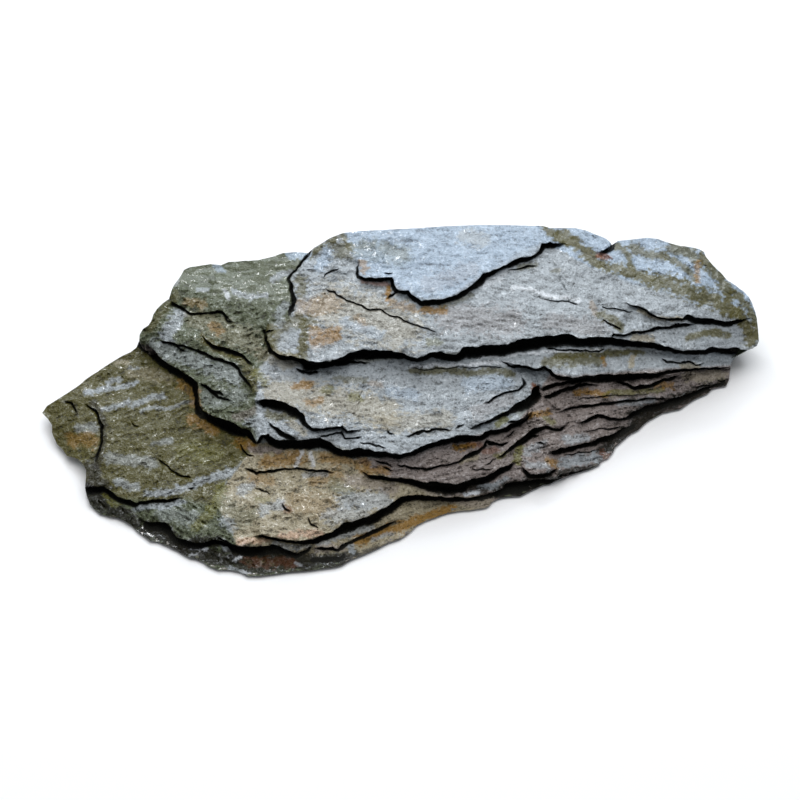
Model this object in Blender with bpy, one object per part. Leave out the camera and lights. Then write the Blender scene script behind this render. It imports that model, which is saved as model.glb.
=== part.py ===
"""Flat river stone: one wet, layered slab of slate lying on its flat bed face.

Metres, +Z up, the long side along X. The origin is on the resting plane, at the
middle of the stone's outline seen from above.

The upper face is drawn the way it is seen from in front and above. Each traced point is
(across, down) on a square view 800 units wide, and the line of sight through it meets the
stone at the height worked out for that point. Heights, drops and depths are millimetres.
"""

import math

import bmesh
import bpy
import numpy as np
from mathutils import Vector, noise
from mathutils.geometry import delaunay_2d_cdt

# Driving sizes, in metres
LENGTH = 0.430
VIEW_DISTANCE = 1.133
VIEW_ELEVATION = math.radians(40)

# The view that the traced points are on
VIEW_MIDDLE = 400.0
VIEW_FOCAL = 800.0 * 85.0 / 36.0
MILLIMETRE = 0.001

# How the ledges shape the stone, in view units unless a name says otherwise
LEDGE_REACH = 45.0
BRINK_HOLD = 0.3
UNDERCUT = 1.3
CLEFT_DEPTH_MM = 0.8
CLEFT_DEPTH_PER_GAP_MM = 0.55
FOOT = 1.15
THINNEST_MM = 1.6
LUMP_MM = 1.1
LUMPS_ACROSS = 0.03
LUMPS_DOWN = 0.05
SLOPE_EASE = 2e-4

# How finely the solid is faceted
LINE_STEP = 9.0
EDGE_STEP = 8.0
LATTICE_STEP = 12.5
LATTICE_ROW = 0.87
LATTICE_PLAY = 0.22
CLEARANCE = 4.5
BED_STEP_MM = 17.0
MERGE = 0.01
WELD = 0.00001
SEED = 7

# The hidden sides: how far down each ring lies, and how far in the far side has come by then
WALL_LAYERS = (
    (0.13, 0.06), (0.16, 0.30), (0.36, 0.20), (0.40, 0.50), (0.64, 0.38), (0.68, 0.76),
    (0.90, 0.68), (1.0, 1.0),
)
WALL_SWAY = 0.08
WALL_SWAY_SCALE = 0.011
WALL_JUT = 0.22
WALL_JUT_SCALE = 0.028
LAYER_SPACING = 7.0
BACK_INSET_MM = 5.0
BACK_INSET_PER_HEIGHT = 0.22
FRONT_INSET_MM = 6.0
FRONT_INSET_PER_HEIGHT = 1.7

# The bed face underneath, with shallow scars: x, y, half length, half width, depth
BED_EDGE_MM = 1.2
BED_WEAR_MM = 14.0
BED_SCARS_MM = (
    (-110.0, -60.0, 48.0, 17.0, 1.6), (95.0, 5.0, 60.0, 15.0, 1.4), (-30.0, 45.0, 40.0, 12.0, 1.2),
    (60.0, -70.0, 34.0, 12.0, 1.8),
)

# Finish
SLATE_COLOUR = (0.24, 0.25, 0.23, 1.0)
SLATE_ROUGHNESS = 0.35

# The stone's outline as it is seen, clockwise from its left tip
OUTLINE = (
    (42, 413), (47, 406), (66, 394), (89, 378), (112, 362), (131, 352), (139, 341), (143, 329),
    (152, 320), (157, 309), (169, 299), (174, 285), (184, 270), (198, 266), (229, 262),
    (258, 260), (283, 253), (308, 253), (330, 238), (343, 233), (380, 230), (420, 228),
    (460, 225.5), (500, 225), (543, 226), (575, 228), (597, 235), (609, 241), (612, 245),
    (626, 240), (648, 237.5), (676, 245), (699, 249), (706, 257), (716, 268), (727, 280),
    (743, 291), (752, 303), (757, 319), (759, 341), (757, 346), (745, 352), (734, 359),
    (730, 372), (726, 386), (712, 389), (697, 398), (680, 409), (662, 413), (643, 425),
    (622, 441), (613, 452), (608, 458), (590, 469), (560, 479), (543, 485), (520, 496),
    (497, 499), (489, 506), (470, 510), (447, 513), (425, 521), (410, 532), (400, 539),
    (380, 547), (360, 556), (335, 567), (305, 571), (275, 574), (248, 576), (230, 570),
    (208, 566), (190, 558), (165, 545), (145, 537), (125, 521), (100, 514), (90, 504),
    (85, 488), (86, 470), (78, 459), (67, 456), (57, 444), (52, 432), (48, 419),
)

# Heights of the weathered slope that the ledges are cut into: across, down, height
SPOTS = (
    (42, 413, 7), (60, 398, 11), (60, 420, 9), (60, 448, 3), (100, 371, 14), (100, 420, 12.5),
    (100, 470, 10), (100, 490, 8), (100, 515, 2), (140, 330, 28), (140, 345, 20),
    (140, 380, 15), (140, 430, 13), (140, 480, 11), (140, 515, 7), (140, 533, 2),
    (200, 266, 36), (200, 310, 32.5), (200, 350, 29.5), (200, 383, 25), (200, 415, 19),
    (200, 440, 14.5), (200, 480, 12), (200, 520, 10), (200, 540, 7), (200, 561, 2),
    (250, 261, 40), (250, 310, 36), (250, 350, 33), (250, 395, 28.5), (250, 430, 21),
    (250, 460, 15), (250, 510, 12), (250, 545, 8), (250, 577, 2), (300, 253, 44),
    (300, 300, 40), (300, 340, 38), (300, 358, 34), (300, 400, 30), (300, 436, 25),
    (300, 460, 17), (300, 500, 14), (300, 538, 9), (300, 560, 4), (300, 571, 2),
    (320, 245, 48), (375, 229, 55), (375, 300, 49), (375, 355, 41), (375, 400, 33),
    (375, 450, 26), (375, 480, 17), (375, 510, 13), (375, 535, 6), (375, 549, 2),
    (450, 226, 56), (450, 297, 52), (450, 330, 48), (450, 360, 41), (450, 400, 33.5),
    (450, 443, 27), (450, 465, 21), (450, 490, 12), (450, 511, 2), (525, 226, 54),
    (525, 300, 49), (525, 345, 41), (525, 385, 32), (525, 415, 26), (525, 450, 18),
    (525, 475, 11), (525, 494, 2), (600, 238, 50), (600, 290, 46), (600, 342, 37.5),
    (600, 362, 32), (600, 382, 26.5), (600, 410, 18), (600, 440, 10), (600, 463, 2),
    (650, 238, 46), (650, 280, 43), (650, 330, 34.5), (650, 350, 28), (650, 376, 22.5),
    (650, 395, 16), (650, 416, 2.5), (700, 251, 40), (700, 295, 37), (700, 323, 31.5),
    (700, 338, 27.5), (700, 352, 23.5), (700, 368, 17.5), (700, 385, 11), (700, 397, 2.5),
    (735, 285, 30), (729, 380, 6), (735, 356, 10), (745, 351, 10), (750, 300, 26),
    (757, 320, 20), (758, 338, 13),
)

# Ledges: name, drop, how far the first and the last end fade, and the brink's points as
# (across, down, width of the dark gap under it). A brink drawn from left to right drops
# towards the viewer, and one drawn down the view drops to the left.
LEDGES = (
    ("crown", 5.0, 12, 14, (
        (362, 261, 1), (358, 268, 2), (360, 275, 3), (370, 277, 3), (380, 278, 3), (392, 277, 3),
        (394, 284, 4), (399, 291, 4), (409, 291, 5), (422, 301, 5), (438, 299, 5), (452, 296, 5),
        (466, 289, 5), (477, 281, 6), (484, 273, 6), (498, 268, 3), (510, 262, 5), (530, 256, 4),
        (537, 252, 4), (541, 243, 5), (550, 242, 6), (558, 243, 4), (566, 243, 2))),
    ("top slab", 9.0, 20, 0, (
        (270, 322, 2), (267, 330, 3), (269, 342, 3), (272, 350, 4), (283, 355, 4), (298, 357, 5),
        (308, 360, 8), (320, 361, 7), (332, 361, 6), (341, 357, 8), (350, 352, 9), (362, 350, 9),
        (392, 350, 9), (400, 352, 8), (408, 355, 5), (417, 358, 3), (430, 352, 6), (440, 352, 8),
        (454, 354, 7), (463, 347, 11), (480, 346, 12), (500, 344, 12), (521, 339, 13),
        (540, 336, 12), (562, 334, 13), (577, 337, 11), (610, 337, 9), (632, 341, 6),
        (655, 343, 6), (682, 350, 4), (705, 349, 5), (715, 347, 6), (737, 348, 6),
        (752, 350, 6))),
    ("right shelf", 4.0, 14, 14, (
        (625, 301, 1), (645, 309, 2.5), (663, 317, 2), (681, 319, 3), (687, 315, 5),
        (705, 318, 8), (725, 321, 6), (743, 319, 2), (752, 317, 2))),
    ("right shelf foot", 3.0, 10, 12, (
        (607, 340, 2), (613, 333, 2), (622, 334, 2.5), (646, 329, 2.5), (673, 324, 3),
        (698, 323, 3))),
    ("second slab", 7.0, 24, 0, (
        (500, 362, 1), (522, 366, 2), (545, 366, 2), (552, 370, 3), (558, 374, 4), (572, 377, 5),
        (583, 376, 6), (600, 373, 9), (620, 374, 8), (655, 372, 5), (684, 368, 3), (715, 367, 2),
        (736, 368, 2))),
    ("lens", 3.0, 10, 14, (
        (610, 380, 3), (622, 381, 3), (636, 385, 4), (652, 382, 4), (672, 377, 3), (684, 375, 2))),
    ("second slab nose", 4.0, 6, 12, (
        (538, 389, 3), (548, 385, 4), (558, 382, 4), (568, 380, 4), (580, 379, 4), (592, 378, 4))),
    ("sliver", 3.0, 6, 12, (
        (541, 396, 3), (556, 391, 4), (576, 384, 4), (588, 383, 3), (600, 384, 2))),
    ("middle slab lobe", 2.0, 10, 10, (
        (481, 404, 2), (488, 400, 2.5), (500, 393, 2), (517, 388, 2.5), (523, 383, 3),
        (522, 373, 1.5))),
    ("middle slab nose", 5.0, 14, 8, (
        (468, 429, 1), (480, 424, 2), (491, 418, 3), (508, 410, 4), (515, 404, 8), (524, 400, 11),
        (530, 394, 11), (532, 388, 8), (539, 383, 4))),
    ("hollow under the middle slab", 5.0, 10, 14, (
        (253, 403, 4), (260, 400, 9), (275, 399, 12), (284, 402, 11), (291, 407, 8),
        (303, 414, 7), (314, 428, 4), (330, 427, 2), (342, 425, 2), (348, 430, 2), (362, 430, 2))),
    ("middle slab", 7.5, 0, 16, (
        (126, 334, 6), (140, 339, 6), (146, 343, 8), (158, 355, 7), (174, 366, 7), (190, 377, 7),
        (198, 383, 6), (199, 402, 4), (203, 411, 8), (216, 416, 10), (235, 424, 11),
        (251, 431, 8), (256, 441, 3), (260, 434, 3), (267, 433, 6), (273, 438, 8), (285, 440, 9),
        (300, 440, 10), (316, 438, 10), (322, 437, 10), (335, 446, 9), (343, 449, 8),
        (360, 448, 9), (380, 451, 6), (400, 454, 4), (411, 453, 4), (420, 445, 6), (432, 441, 6),
        (448, 439, 5), (460, 434, 7), (480, 435, 6), (490, 430, 6), (505, 427, 5), (520, 421, 4),
        (534, 410, 3))),
    ("tip slab branch", 2.0, 6, 8, (
        (200, 382, 2), (213, 391, 3), (227, 399, 2), (233, 402, 1))),
    ("saddle", 2.5, 6, 8, (
        (268, 422, 2), (279, 428, 4), (288, 434, 5), (300, 440, 4))),
    ("tongue crack", 2.0, 10, 12, (
        (243, 466, 1.5), (250, 468, 2), (257, 472, 2.5), (270, 470, 2.5), (285, 468, 2),
        (300, 468, 2), (320, 470, 2.5), (338, 471, 2))),
    ("tip slab front crack", 2.5, 0, 12, (
        (76, 486, 8), (88, 487, 8), (100, 487, 7), (107, 489, 6), (123, 498, 5), (136, 503, 4),
        (148, 501, 4), (170, 498, 3), (186, 498, 1))),
    ("tongue", 5.0, 10, 10, (
        (362, 471, 2), (372, 475, 4), (382, 475, 5), (396, 477, 4), (408, 479, 6), (432, 481, 10),
        (446, 483, 12), (457, 484, 10), (466, 481, 7), (478, 478, 8), (492, 472, 7), (506, 465, 5),
        (516, 461, 3))),
    ("first stratum", 2.0, 12, 10, (
        (392, 461, 2), (402, 465, 2), (412, 467, 2.5), (434, 467, 2), (446, 464, 1.5),
        (458, 460, 2), (464, 455, 4), (474, 451, 4), (483, 446, 3), (487, 440, 2), (500, 443, 2),
        (508, 440, 2))),
    ("second stratum", 3.0, 8, 12, (
        (495, 459, 2), (503, 452, 3), (511, 446, 4), (518, 440, 6), (525, 434, 7), (535, 428, 5),
        (545, 426, 3), (560, 428, 3), (571, 422, 2))),
    ("third stratum", 5.0, 8, 12, (
        (547, 454, 3), (554, 450, 5), (562, 447, 6), (582, 443, 5), (594, 441, 5), (610, 435, 6),
        (622, 429, 5), (632, 424, 4), (640, 418, 3))),
    ("fourth stratum", 3.0, 8, 8, (
        (520, 466, 3), (529, 474, 4), (542, 474, 4), (551, 469, 3), (560, 467, 2))),
    ("fifth stratum", 3.0, 10, 10, (
        (557, 412, 1.5), (575, 406, 2.5), (597, 402, 3), (633, 399, 2.5), (660, 397, 2),
        (672, 398, 1.5))),
    ("sixth stratum", 4.0, 10, 0, (
        (575, 424, 1.5), (586, 419, 3), (596, 414, 4), (605, 416, 4), (625, 417, 3), (633, 411, 5),
        (657, 404, 6), (680, 395, 6), (704, 388, 4), (722, 382, 3))),
    ("front slab", 6.0, 10, 0, (
        (253, 536, 2), (262, 533, 3), (270, 535, 3), (280, 538, 3), (300, 540, 4), (316, 538, 5),
        (332, 531, 7), (346, 523, 9), (358, 520, 8), (368, 516, 9), (385, 506, 9), (400, 497, 8),
        (415, 494, 6), (440, 497, 5), (470, 497, 4), (486, 494, 5), (500, 488, 8), (512, 482, 12),
        (524, 480, 13), (541, 479, 7), (556, 477, 3), (570, 478, 3))),
    ("lower lip", 4.0, 14, 8, (
        (138, 516, 3), (148, 521, 9), (164, 522, 10), (171, 529, 8), (177, 537, 6), (195, 543, 6),
        (215, 540, 5), (230, 542, 4), (240, 546, 8), (250, 547, 10), (262, 546, 10),
        (272, 544, 9), (285, 549, 7), (297, 554, 4), (308, 549, 3), (314, 543, 2))),
    ("lowest lip", 2.5, 6, 8, (
        (314, 547, 2), (338, 547, 3), (348, 541, 3), (374, 528, 5), (385, 524, 4), (398, 519, 2))),
    ("front foot", 3.0, 10, 6, (
        (303, 561, 3), (312, 557, 5), (328, 556, 6), (340, 555, 5), (346, 549, 2))),
    ("tip fold", 2.0, 10, 12, (
        (84, 402, 1.5), (98, 410, 3), (104, 425, 3), (103, 447, 3), (95, 468, 2))),
    ("upper left crack", 2.0, 8, 10, (
        (170, 300, 2), (177, 304, 4), (191, 313, 2.5), (208, 311, 1.5), (221, 311, 2.5),
        (235, 321, 1.5))),
    ("upper left step", 2.5, 12, 12, (
        (158, 340, 2), (184, 344, 2), (202, 351, 3), (222, 358, 2.5), (240, 368, 3), (249, 381, 3),
        (254, 394, 2))),
    ("upper left groove", 2.0, 10, 10, (
        (200, 336, 1.5), (214, 345, 4), (232, 349, 5), (246, 356, 4), (255, 366, 2))),
    ("slab boundary", 4.0, 0, 12, (
        (322, 240, 2), (312, 250, 3), (306, 261, 3), (299, 271, 2), (290, 279, 3), (293, 286, 4),
        (296, 301, 5), (294, 312, 4), (290, 322, 3))),
    ("right rim", 3.0, 8, 0, (
        (598, 253, 2), (606, 250, 4), (611, 246, 4), (613, 238, 3))),
)


def line_of_sight(across, down, height):
    """World x and y where the line of sight through a view point reaches a height."""
    right = (across - VIEW_MIDDLE) / VIEW_FOCAL
    up = (VIEW_MIDDLE - down) / VIEW_FOCAL
    ahead = math.cos(VIEW_ELEVATION) + up * math.sin(VIEW_ELEVATION)
    fall = math.sin(VIEW_ELEVATION) - up * math.cos(VIEW_ELEVATION)
    reach = (VIEW_DISTANCE * math.sin(VIEW_ELEVATION) - height) / fall
    return right * reach, ahead * reach - VIEW_DISTANCE * math.cos(VIEW_ELEVATION)


def thin_plate(distance_squared):
    return distance_squared * np.log(distance_squared + 1e-9)


def fit_slope():
    """A smooth thin-plate surface through the spot heights, as a function of view points."""
    spots = np.array(SPOTS, float)
    places = spots[:, :2] / VIEW_MIDDLE
    gaps = ((places[:, None] - places[None]) ** 2).sum(axis=2)
    plane = np.column_stack([np.ones(len(places)), places])
    stiffness = thin_plate(gaps) + SLOPE_EASE * np.eye(len(places))
    system = np.block([[stiffness, plane], [plane.T, np.zeros((3, 3))]])
    weights = np.linalg.solve(system, np.concatenate([spots[:, 2], np.zeros(3)]))

    def slope(points):
        at = points / VIEW_MIDDLE
        away = ((at[:, None] - places[None]) ** 2).sum(axis=2)
        tilt = np.column_stack([np.ones(len(at)), at])
        return thin_plate(away) @ weights[:-3] + tilt @ weights[-3:]

    return slope


def smooth_step(value):
    held = np.clip(value, 0.0, 1.0)
    return held * held * (3.0 - 2.0 * held)


def beside(points, brink, fade_in, fade_out):
    """Signed distance below a brink, and the gap and the strength of the nearest place on it."""
    line = np.array(brink, float)
    start, end = line[:-1, :2], line[1:, :2]
    run = end - start
    length = np.hypot(run[:, 0], run[:, 1])
    travelled = np.concatenate([[0.0], np.cumsum(length)])
    best = np.full(len(points), np.inf)
    signed = np.zeros(len(points))
    gap = np.zeros(len(points))
    place = np.zeros(len(points))
    facing = np.column_stack([-run[:, 1], run[:, 0]]) / length[:, None]
    for index in range(len(run)):
        offset = points - start[index]
        along = np.clip(offset @ run[index] / length[index] ** 2, 0.0, 1.0)
        away = offset - along[:, None] * run[index]
        distance = np.hypot(away[:, 0], away[:, 1])
        normal = np.repeat(facing[index][None], len(points), axis=0)
        if index > 0:
            normal[along == 0.0] = facing[index] + facing[index - 1]
        if index < len(run) - 1:
            normal[along == 1.0] = facing[index] + facing[index + 1]
        nearer = distance < best
        side = np.where((away * normal).sum(axis=1) > 0.0, 1.0, -1.0)
        best = np.where(nearer, distance, best)
        signed = np.where(nearer, distance * side, signed)
        gap = np.where(nearer, line[index, 2] + along * (line[index + 1, 2] - line[index, 2]), gap)
        place = np.where(nearer, travelled[index] + along * length[index], place)
    strength = np.ones(len(points))
    if fade_in:
        strength *= smooth_step(place / fade_in)
    if fade_out:
        strength *= smooth_step((travelled[-1] - place) / fade_out)
    return signed, gap, strength


def heights(points, slope):
    """Height of the upper face at each view point, in millimetres."""
    level = slope(points)
    for _, drop, fade_in, fade_out, brink in LEDGES:
        signed, gap, strength = beside(points, brink, fade_in, fade_out)
        near = np.exp(-np.abs(signed) / LEDGE_REACH)
        below = signed > BRINK_HOLD
        level += np.where(below, -0.5, 0.5) * drop * strength * near
        cleft = CLEFT_DEPTH_MM + CLEFT_DEPTH_PER_GAP_MM * gap
        rise = smooth_step((signed - 0.5 * gap) / (0.5 * gap + 0.5))
        level -= np.where(below, cleft * strength * (1.0 - rise), 0.0)
    lumps = [
        noise.fractal(Vector((x * LUMPS_ACROSS, y * LUMPS_DOWN, SEED)), 0.6, 2.1, 3)
        for x, y in points
    ]
    return np.maximum(level + LUMP_MM * np.array(lumps), THINNEST_MM)


def along_line(points, step, closed=False):
    """A traced line with a point at every corner and more between them, a step apart."""
    corners = [np.array(point, float) for point in points]
    if closed:
        corners.append(corners[0])
    spaced = []
    for first, second in zip(corners, corners[1:]):
        pieces = max(1, round(np.hypot(*(second - first)[:2]) / step))
        spaced += [first + (second - first) * share / pieces for share in range(pieces)]
    if not closed:
        spaced.append(corners[-1])
    return np.array(spaced)


def thinned(line, step):
    """The same line without the points that come closer together than the step."""
    kept = [line[0]]
    for point in line[1:-1]:
        if np.hypot(*(point - kept[-1])[:2]) >= step:
            kept.append(point)
    kept.append(line[-1])
    return np.array(kept)


def beneath(line, share, extra):
    """The line that runs below a brink at a share of its gap plus an extra distance."""
    run = np.gradient(line[:, :2], axis=0)
    facing = np.column_stack([-run[:, 1], run[:, 0]])
    facing /= np.hypot(facing[:, 0], facing[:, 1])[:, None]
    return line[:, :2] + facing * (line[:, 2:3] * share + extra)


def inside(points, loop):
    """Which points lie inside a closed loop."""
    result = np.zeros(len(points), bool)
    for (x0, y0), (x1, y1) in zip(loop, np.roll(loop, -1, axis=0)):
        if y0 == y1:
            continue
        crosses = (points[:, 1] > y0) != (points[:, 1] > y1)
        at = x0 + (points[:, 1] - y0) * (x1 - x0) / (y1 - y0)
        result ^= crosses & (points[:, 0] < at)
    return result


def nearest_distance(points, others):
    return np.array([np.hypot(*(others - point).T).min() for point in points])


def lattice(low, high, step, rng):
    """A staggered grid of loosely placed points."""
    rows = np.arange(low[1], high[1], step * LATTICE_ROW)
    points = [
        (x + (0.5 * step if index % 2 else 0.0), y)
        for index, y in enumerate(rows)
        for x in np.arange(low[0], high[0], step)
    ]
    return np.array(points) + rng.uniform(-LATTICE_PLAY, LATTICE_PLAY, (len(points), 2)) * step


def turning(loop):
    """Positive where a closed loop runs from the first axis towards the second."""
    ahead = np.roll(loop, -1, axis=0)
    return (loop[:, 0] * ahead[:, 1] - loop[:, 1] * ahead[:, 0]).sum()


def triangulate(loop, lines, loose):
    """Triangles inside a loop that keep to the given lines, and the points they use."""
    points = [Vector(point) for point in (loop if turning(loop) > 0 else loop[::-1])]
    patch = [list(range(len(points)))]
    edges = []
    for line in lines:
        first = len(points)
        points += [Vector(point) for point in line]
        edges += [(first + index, first + index + 1) for index in range(len(line) - 1)]
    points += [Vector(point) for point in loose]
    flat, _, faces, _, _, patches = delaunay_2d_cdt(points, edges, patch, 0, MERGE)
    flat = np.array([tuple(point) for point in flat])
    faces = np.array([face for face, within in zip(faces, patches) if within])
    used = np.unique(faces)
    renumber = np.zeros(len(flat), int)
    renumber[used] = np.arange(len(used))
    return flat[used], renumber[faces]


def rim(faces, view):
    """Point numbers around a patch of triangles, clockwise as the viewer sees them."""
    sides = {(a, b) for face in faces.tolist() for a, b in zip(face, face[1:] + face[:1])}
    following = {a: b for a, b in sides if (b, a) not in sides}
    start = min(following)
    loop = [start]
    while following[loop[-1]] != start:
        loop.append(following[loop[-1]])
    return np.array(loop if turning(view[loop]) > 0 else loop[::-1])


def eased(values, passes):
    """Values around a closed loop, averaged with their neighbours."""
    for _ in range(passes):
        beside_each = np.roll(values, 1, axis=0) + np.roll(values, -1, axis=0)
        values = 0.5 * values + 0.25 * beside_each
    return values


def facing_viewer(view_rim):
    """1 where the outline faces the viewer, 0 where it faces away, softly between them."""
    run = np.roll(view_rim, -1, axis=0) - np.roll(view_rim, 1, axis=0)
    return eased(smooth_step(0.5 - 1.3 * run[:, 0] / np.hypot(run[:, 0], run[:, 1])), 4)


def bed_outline(edge, front):
    """Where each point of the upper face's edge comes down: drawn in towards the middle."""
    middle = 0.5 * (edge[:, :2].min(axis=0) + edge[:, :2].max(axis=0))
    arm = edge[:, :2] - middle
    far_inset = BACK_INSET_MM + BACK_INSET_PER_HEIGHT * edge[:, 2]
    near_inset = FRONT_INSET_MM + FRONT_INSET_PER_HEIGHT * edge[:, 2]
    inset = far_inset + (near_inset - far_inset) * front
    return eased(edge[:, :2] - arm * (inset / np.hypot(arm[:, 0], arm[:, 1]))[:, None], 12)


def ripple(edge, scale, layer):
    """A soft irregular wave along the edge, its own for each layer."""
    return np.array([noise.noise(Vector((x * scale, y * scale, layer))) for x, y, _ in edge])


def wall_rings(edge, front):
    """Rings of points from the upper face's edge down to the bed, layered at the back."""
    foot = bed_outline(edge, front)
    far = 1.0 - front
    rings = []
    for index, (down, inward) in enumerate(WALL_LAYERS):
        layer = LAYER_SPACING * (index // 2)
        loose = far * (down < 1.0)
        share = down + (inward - down) * far + WALL_JUT * loose * ripple(edge, WALL_JUT_SCALE, layer)
        level = edge[:, 2] * (1.0 - down) + BED_EDGE_MM * down
        level += WALL_SWAY * loose * edge[:, 2] * ripple(edge, WALL_SWAY_SCALE, layer)
        place = edge[:, :2] + (foot - edge[:, :2]) * np.clip(share, 0.02, 1.0)[:, None]
        rings.append(np.column_stack([place, level]))
    return rings


def bed_heights(points, loop):
    """The bed face: flat on the resting plane, worn up along its edge and in a few scars."""
    inward = np.clip(nearest_distance(points, loop) / BED_WEAR_MM, 0.0, 1.0)
    level = BED_EDGE_MM * (1.0 - inward)
    for x, y, half_length, half_width, depth in BED_SCARS_MM:
        away = np.hypot((points[:, 0] - x) / half_length, (points[:, 1] - y) / half_width)
        level = np.maximum(level, depth * smooth_step(4.0 * (1.0 - away)) * inward)
    return level


def upper_face(rng):
    """View points, world points and triangles of everything the viewer sees."""
    loop = along_line(OUTLINE, EDGE_STEP, closed=True)
    lines = []
    for _, _, _, _, brink in LEDGES:
        line = thinned(along_line(brink, LINE_STEP), 0.55 * LINE_STEP)
        lines += [line[:, :2], beneath(line, 0.0, UNDERCUT), beneath(line, 1.0, FOOT)]
    loose = lattice(loop.min(axis=0), loop.max(axis=0), LATTICE_STEP, rng)
    taken = np.concatenate([loop] + lines)
    loose = loose[inside(loose, loop) & (nearest_distance(loose, taken) > CLEARANCE)]
    view, faces = triangulate(loop, lines, loose)
    level = heights(view, fit_slope())
    x, y = line_of_sight(view[:, 0], view[:, 1], level * MILLIMETRE)
    return view, np.column_stack([x / MILLIMETRE, y / MILLIMETRE, level]), faces


def build_surface():
    """All points in millimetres and all triangles, pointing outwards."""
    rng = np.random.default_rng(SEED)
    view, top, top_faces = upper_face(rng)
    loop = rim(top_faces, view)
    edge = top[loop]
    rings = wall_rings(edge, facing_viewer(view[loop]))
    points = [top] + rings
    around = len(loop)
    faces = [top_faces[:, ::-1]]
    upper = loop
    first = len(top)
    for _ in rings:
        lower = first + np.arange(around)
        for a, b, c, d in zip(upper, np.roll(upper, -1), np.roll(lower, -1), lower):
            faces.append([(a, b, c), (a, c, d)])
        upper = lower
        first += around
    bed_loop = rings[-1][:, :2]
    loose = lattice(bed_loop.min(axis=0), bed_loop.max(axis=0), BED_STEP_MM, rng)
    loose = loose[inside(loose, bed_loop) & (nearest_distance(loose, bed_loop) > 0.5 * BED_STEP_MM)]
    bed, bed_faces = triangulate(bed_loop, [], loose)
    bed = np.column_stack([bed, bed_heights(bed, bed_loop)])
    bed_faces = bed_faces + len(np.concatenate(points))
    points.append(bed)
    faces.append(bed_faces[:, ::-1])
    return np.concatenate(points), np.concatenate([np.array(group) for group in faces])


def slate_material():
    material = bpy.data.materials.new("wet slate")
    material.use_nodes = True
    shader = material.node_tree.nodes["Principled BSDF"]
    shader.inputs["Base Color"].default_value = SLATE_COLOUR
    shader.inputs["Roughness"].default_value = SLATE_ROUGHNESS
    shader.inputs["Metallic"].default_value = 0.0
    return material


def make_stone():
    points, faces = build_surface()
    low, high = points.min(axis=0), points.max(axis=0)
    scale = LENGTH / (high[0] - low[0])
    middle = np.array([0.5 * (low[0] + high[0]), 0.5 * (low[1] + high[1]), low[2]])
    mesh = bpy.data.meshes.new("stone")
    mesh.from_pydata(((points - middle) * scale).tolist(), [], faces.tolist())
    shape = bmesh.new()
    shape.from_mesh(mesh)
    bmesh.ops.remove_doubles(shape, verts=shape.verts, dist=WELD)
    bmesh.ops.recalc_face_normals(shape, faces=shape.faces)
    shape.to_mesh(mesh)
    shape.free()
    mesh.materials.append(slate_material())
    stone = bpy.data.objects.new("stone", mesh)
    bpy.context.collection.objects.link(stone)
    return stone


def main():
    for item in list(bpy.data.objects):
        bpy.data.objects.remove(item, do_unlink=True)
    make_stone()


if __name__ == "__main__":
    main()
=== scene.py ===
"""Flat river stone: the looks of one wet, layered slab of slate.

Metres, +Z up, the long side along X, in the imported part's own space. The upper face is
drawn the way it is seen from in front and above, as the part's source draws it: each
traced point is (across, down) on a square view 800 units wide, and the line of sight
through it meets the stone at the height worked out for that point. Heights, drops and
depths are millimetres.
"""

import math

import bpy
import numpy as np
from bpy.props import FloatProperty, FloatVectorProperty, PointerProperty
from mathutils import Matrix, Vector, kdtree, noise
from mathutils.geometry import delaunay_2d_cdt


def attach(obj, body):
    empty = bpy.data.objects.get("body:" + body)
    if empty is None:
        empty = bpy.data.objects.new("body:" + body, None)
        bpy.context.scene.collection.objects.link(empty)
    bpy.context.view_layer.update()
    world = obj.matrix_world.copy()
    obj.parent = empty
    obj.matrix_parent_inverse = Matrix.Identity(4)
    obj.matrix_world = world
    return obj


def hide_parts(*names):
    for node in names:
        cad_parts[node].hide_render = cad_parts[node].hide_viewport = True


bl_info = {
    "name": "Flat river stone",
    "version": (1, 0, 0),
    "blender": (4, 5, 0),
    "location": "3D View > Sidebar > River stone",
    "description": "A wet, layered slab of slate on a plain studio floor",
    "category": "Add Mesh",
}

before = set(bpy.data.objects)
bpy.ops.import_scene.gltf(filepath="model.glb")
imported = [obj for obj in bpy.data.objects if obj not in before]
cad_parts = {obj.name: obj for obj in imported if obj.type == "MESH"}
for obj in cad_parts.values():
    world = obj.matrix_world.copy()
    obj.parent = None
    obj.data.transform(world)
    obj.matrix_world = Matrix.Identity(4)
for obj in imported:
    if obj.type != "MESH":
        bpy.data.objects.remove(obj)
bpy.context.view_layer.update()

# The view that the traced points are on
VIEW_MIDDLE = 400.0
VIEW_FOCAL = 800.0 * 85.0 / 36.0
MILLIMETRE = 0.001
SEED = 7

# How the ledges shape the stone, in view units unless a name says otherwise
LEDGE_REACH = 45.0
LEDGE_END = 6.0
DETAIL_REACH = 9.0
BRINK_HOLD = 0.3
UNDERCUT = 1.0
CLEFT_DEPTH_MM = 0.8
CLEFT_DEPTH_PER_GAP_MM = 0.55
FOOT = 1.15
THINNEST_MM = 1.6
LUMP_MM = 1.1
LUMPS_ACROSS = 0.03
LUMPS_DOWN = 0.05
SLOPE_EASE = 2e-4

# How the brinks wander off their traced lines: size and amount of each waver
WAVER = ((16.0, 2.4), (6.0, 1.1), (3.0, 0.5))
WAVER_ROUNDS = 8

# How finely the mesh is faceted
LINE_STEP = 1.6
EDGE_STEP = 2.6
LATTICE_STEP = 1.62
LATTICE_ROW = 0.87
LATTICE_PLAY = 0.22
CLEARANCE = 0.8
BED_STEP_MM = 5.0
MERGE = 0.01
WELD = 0.00001

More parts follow.
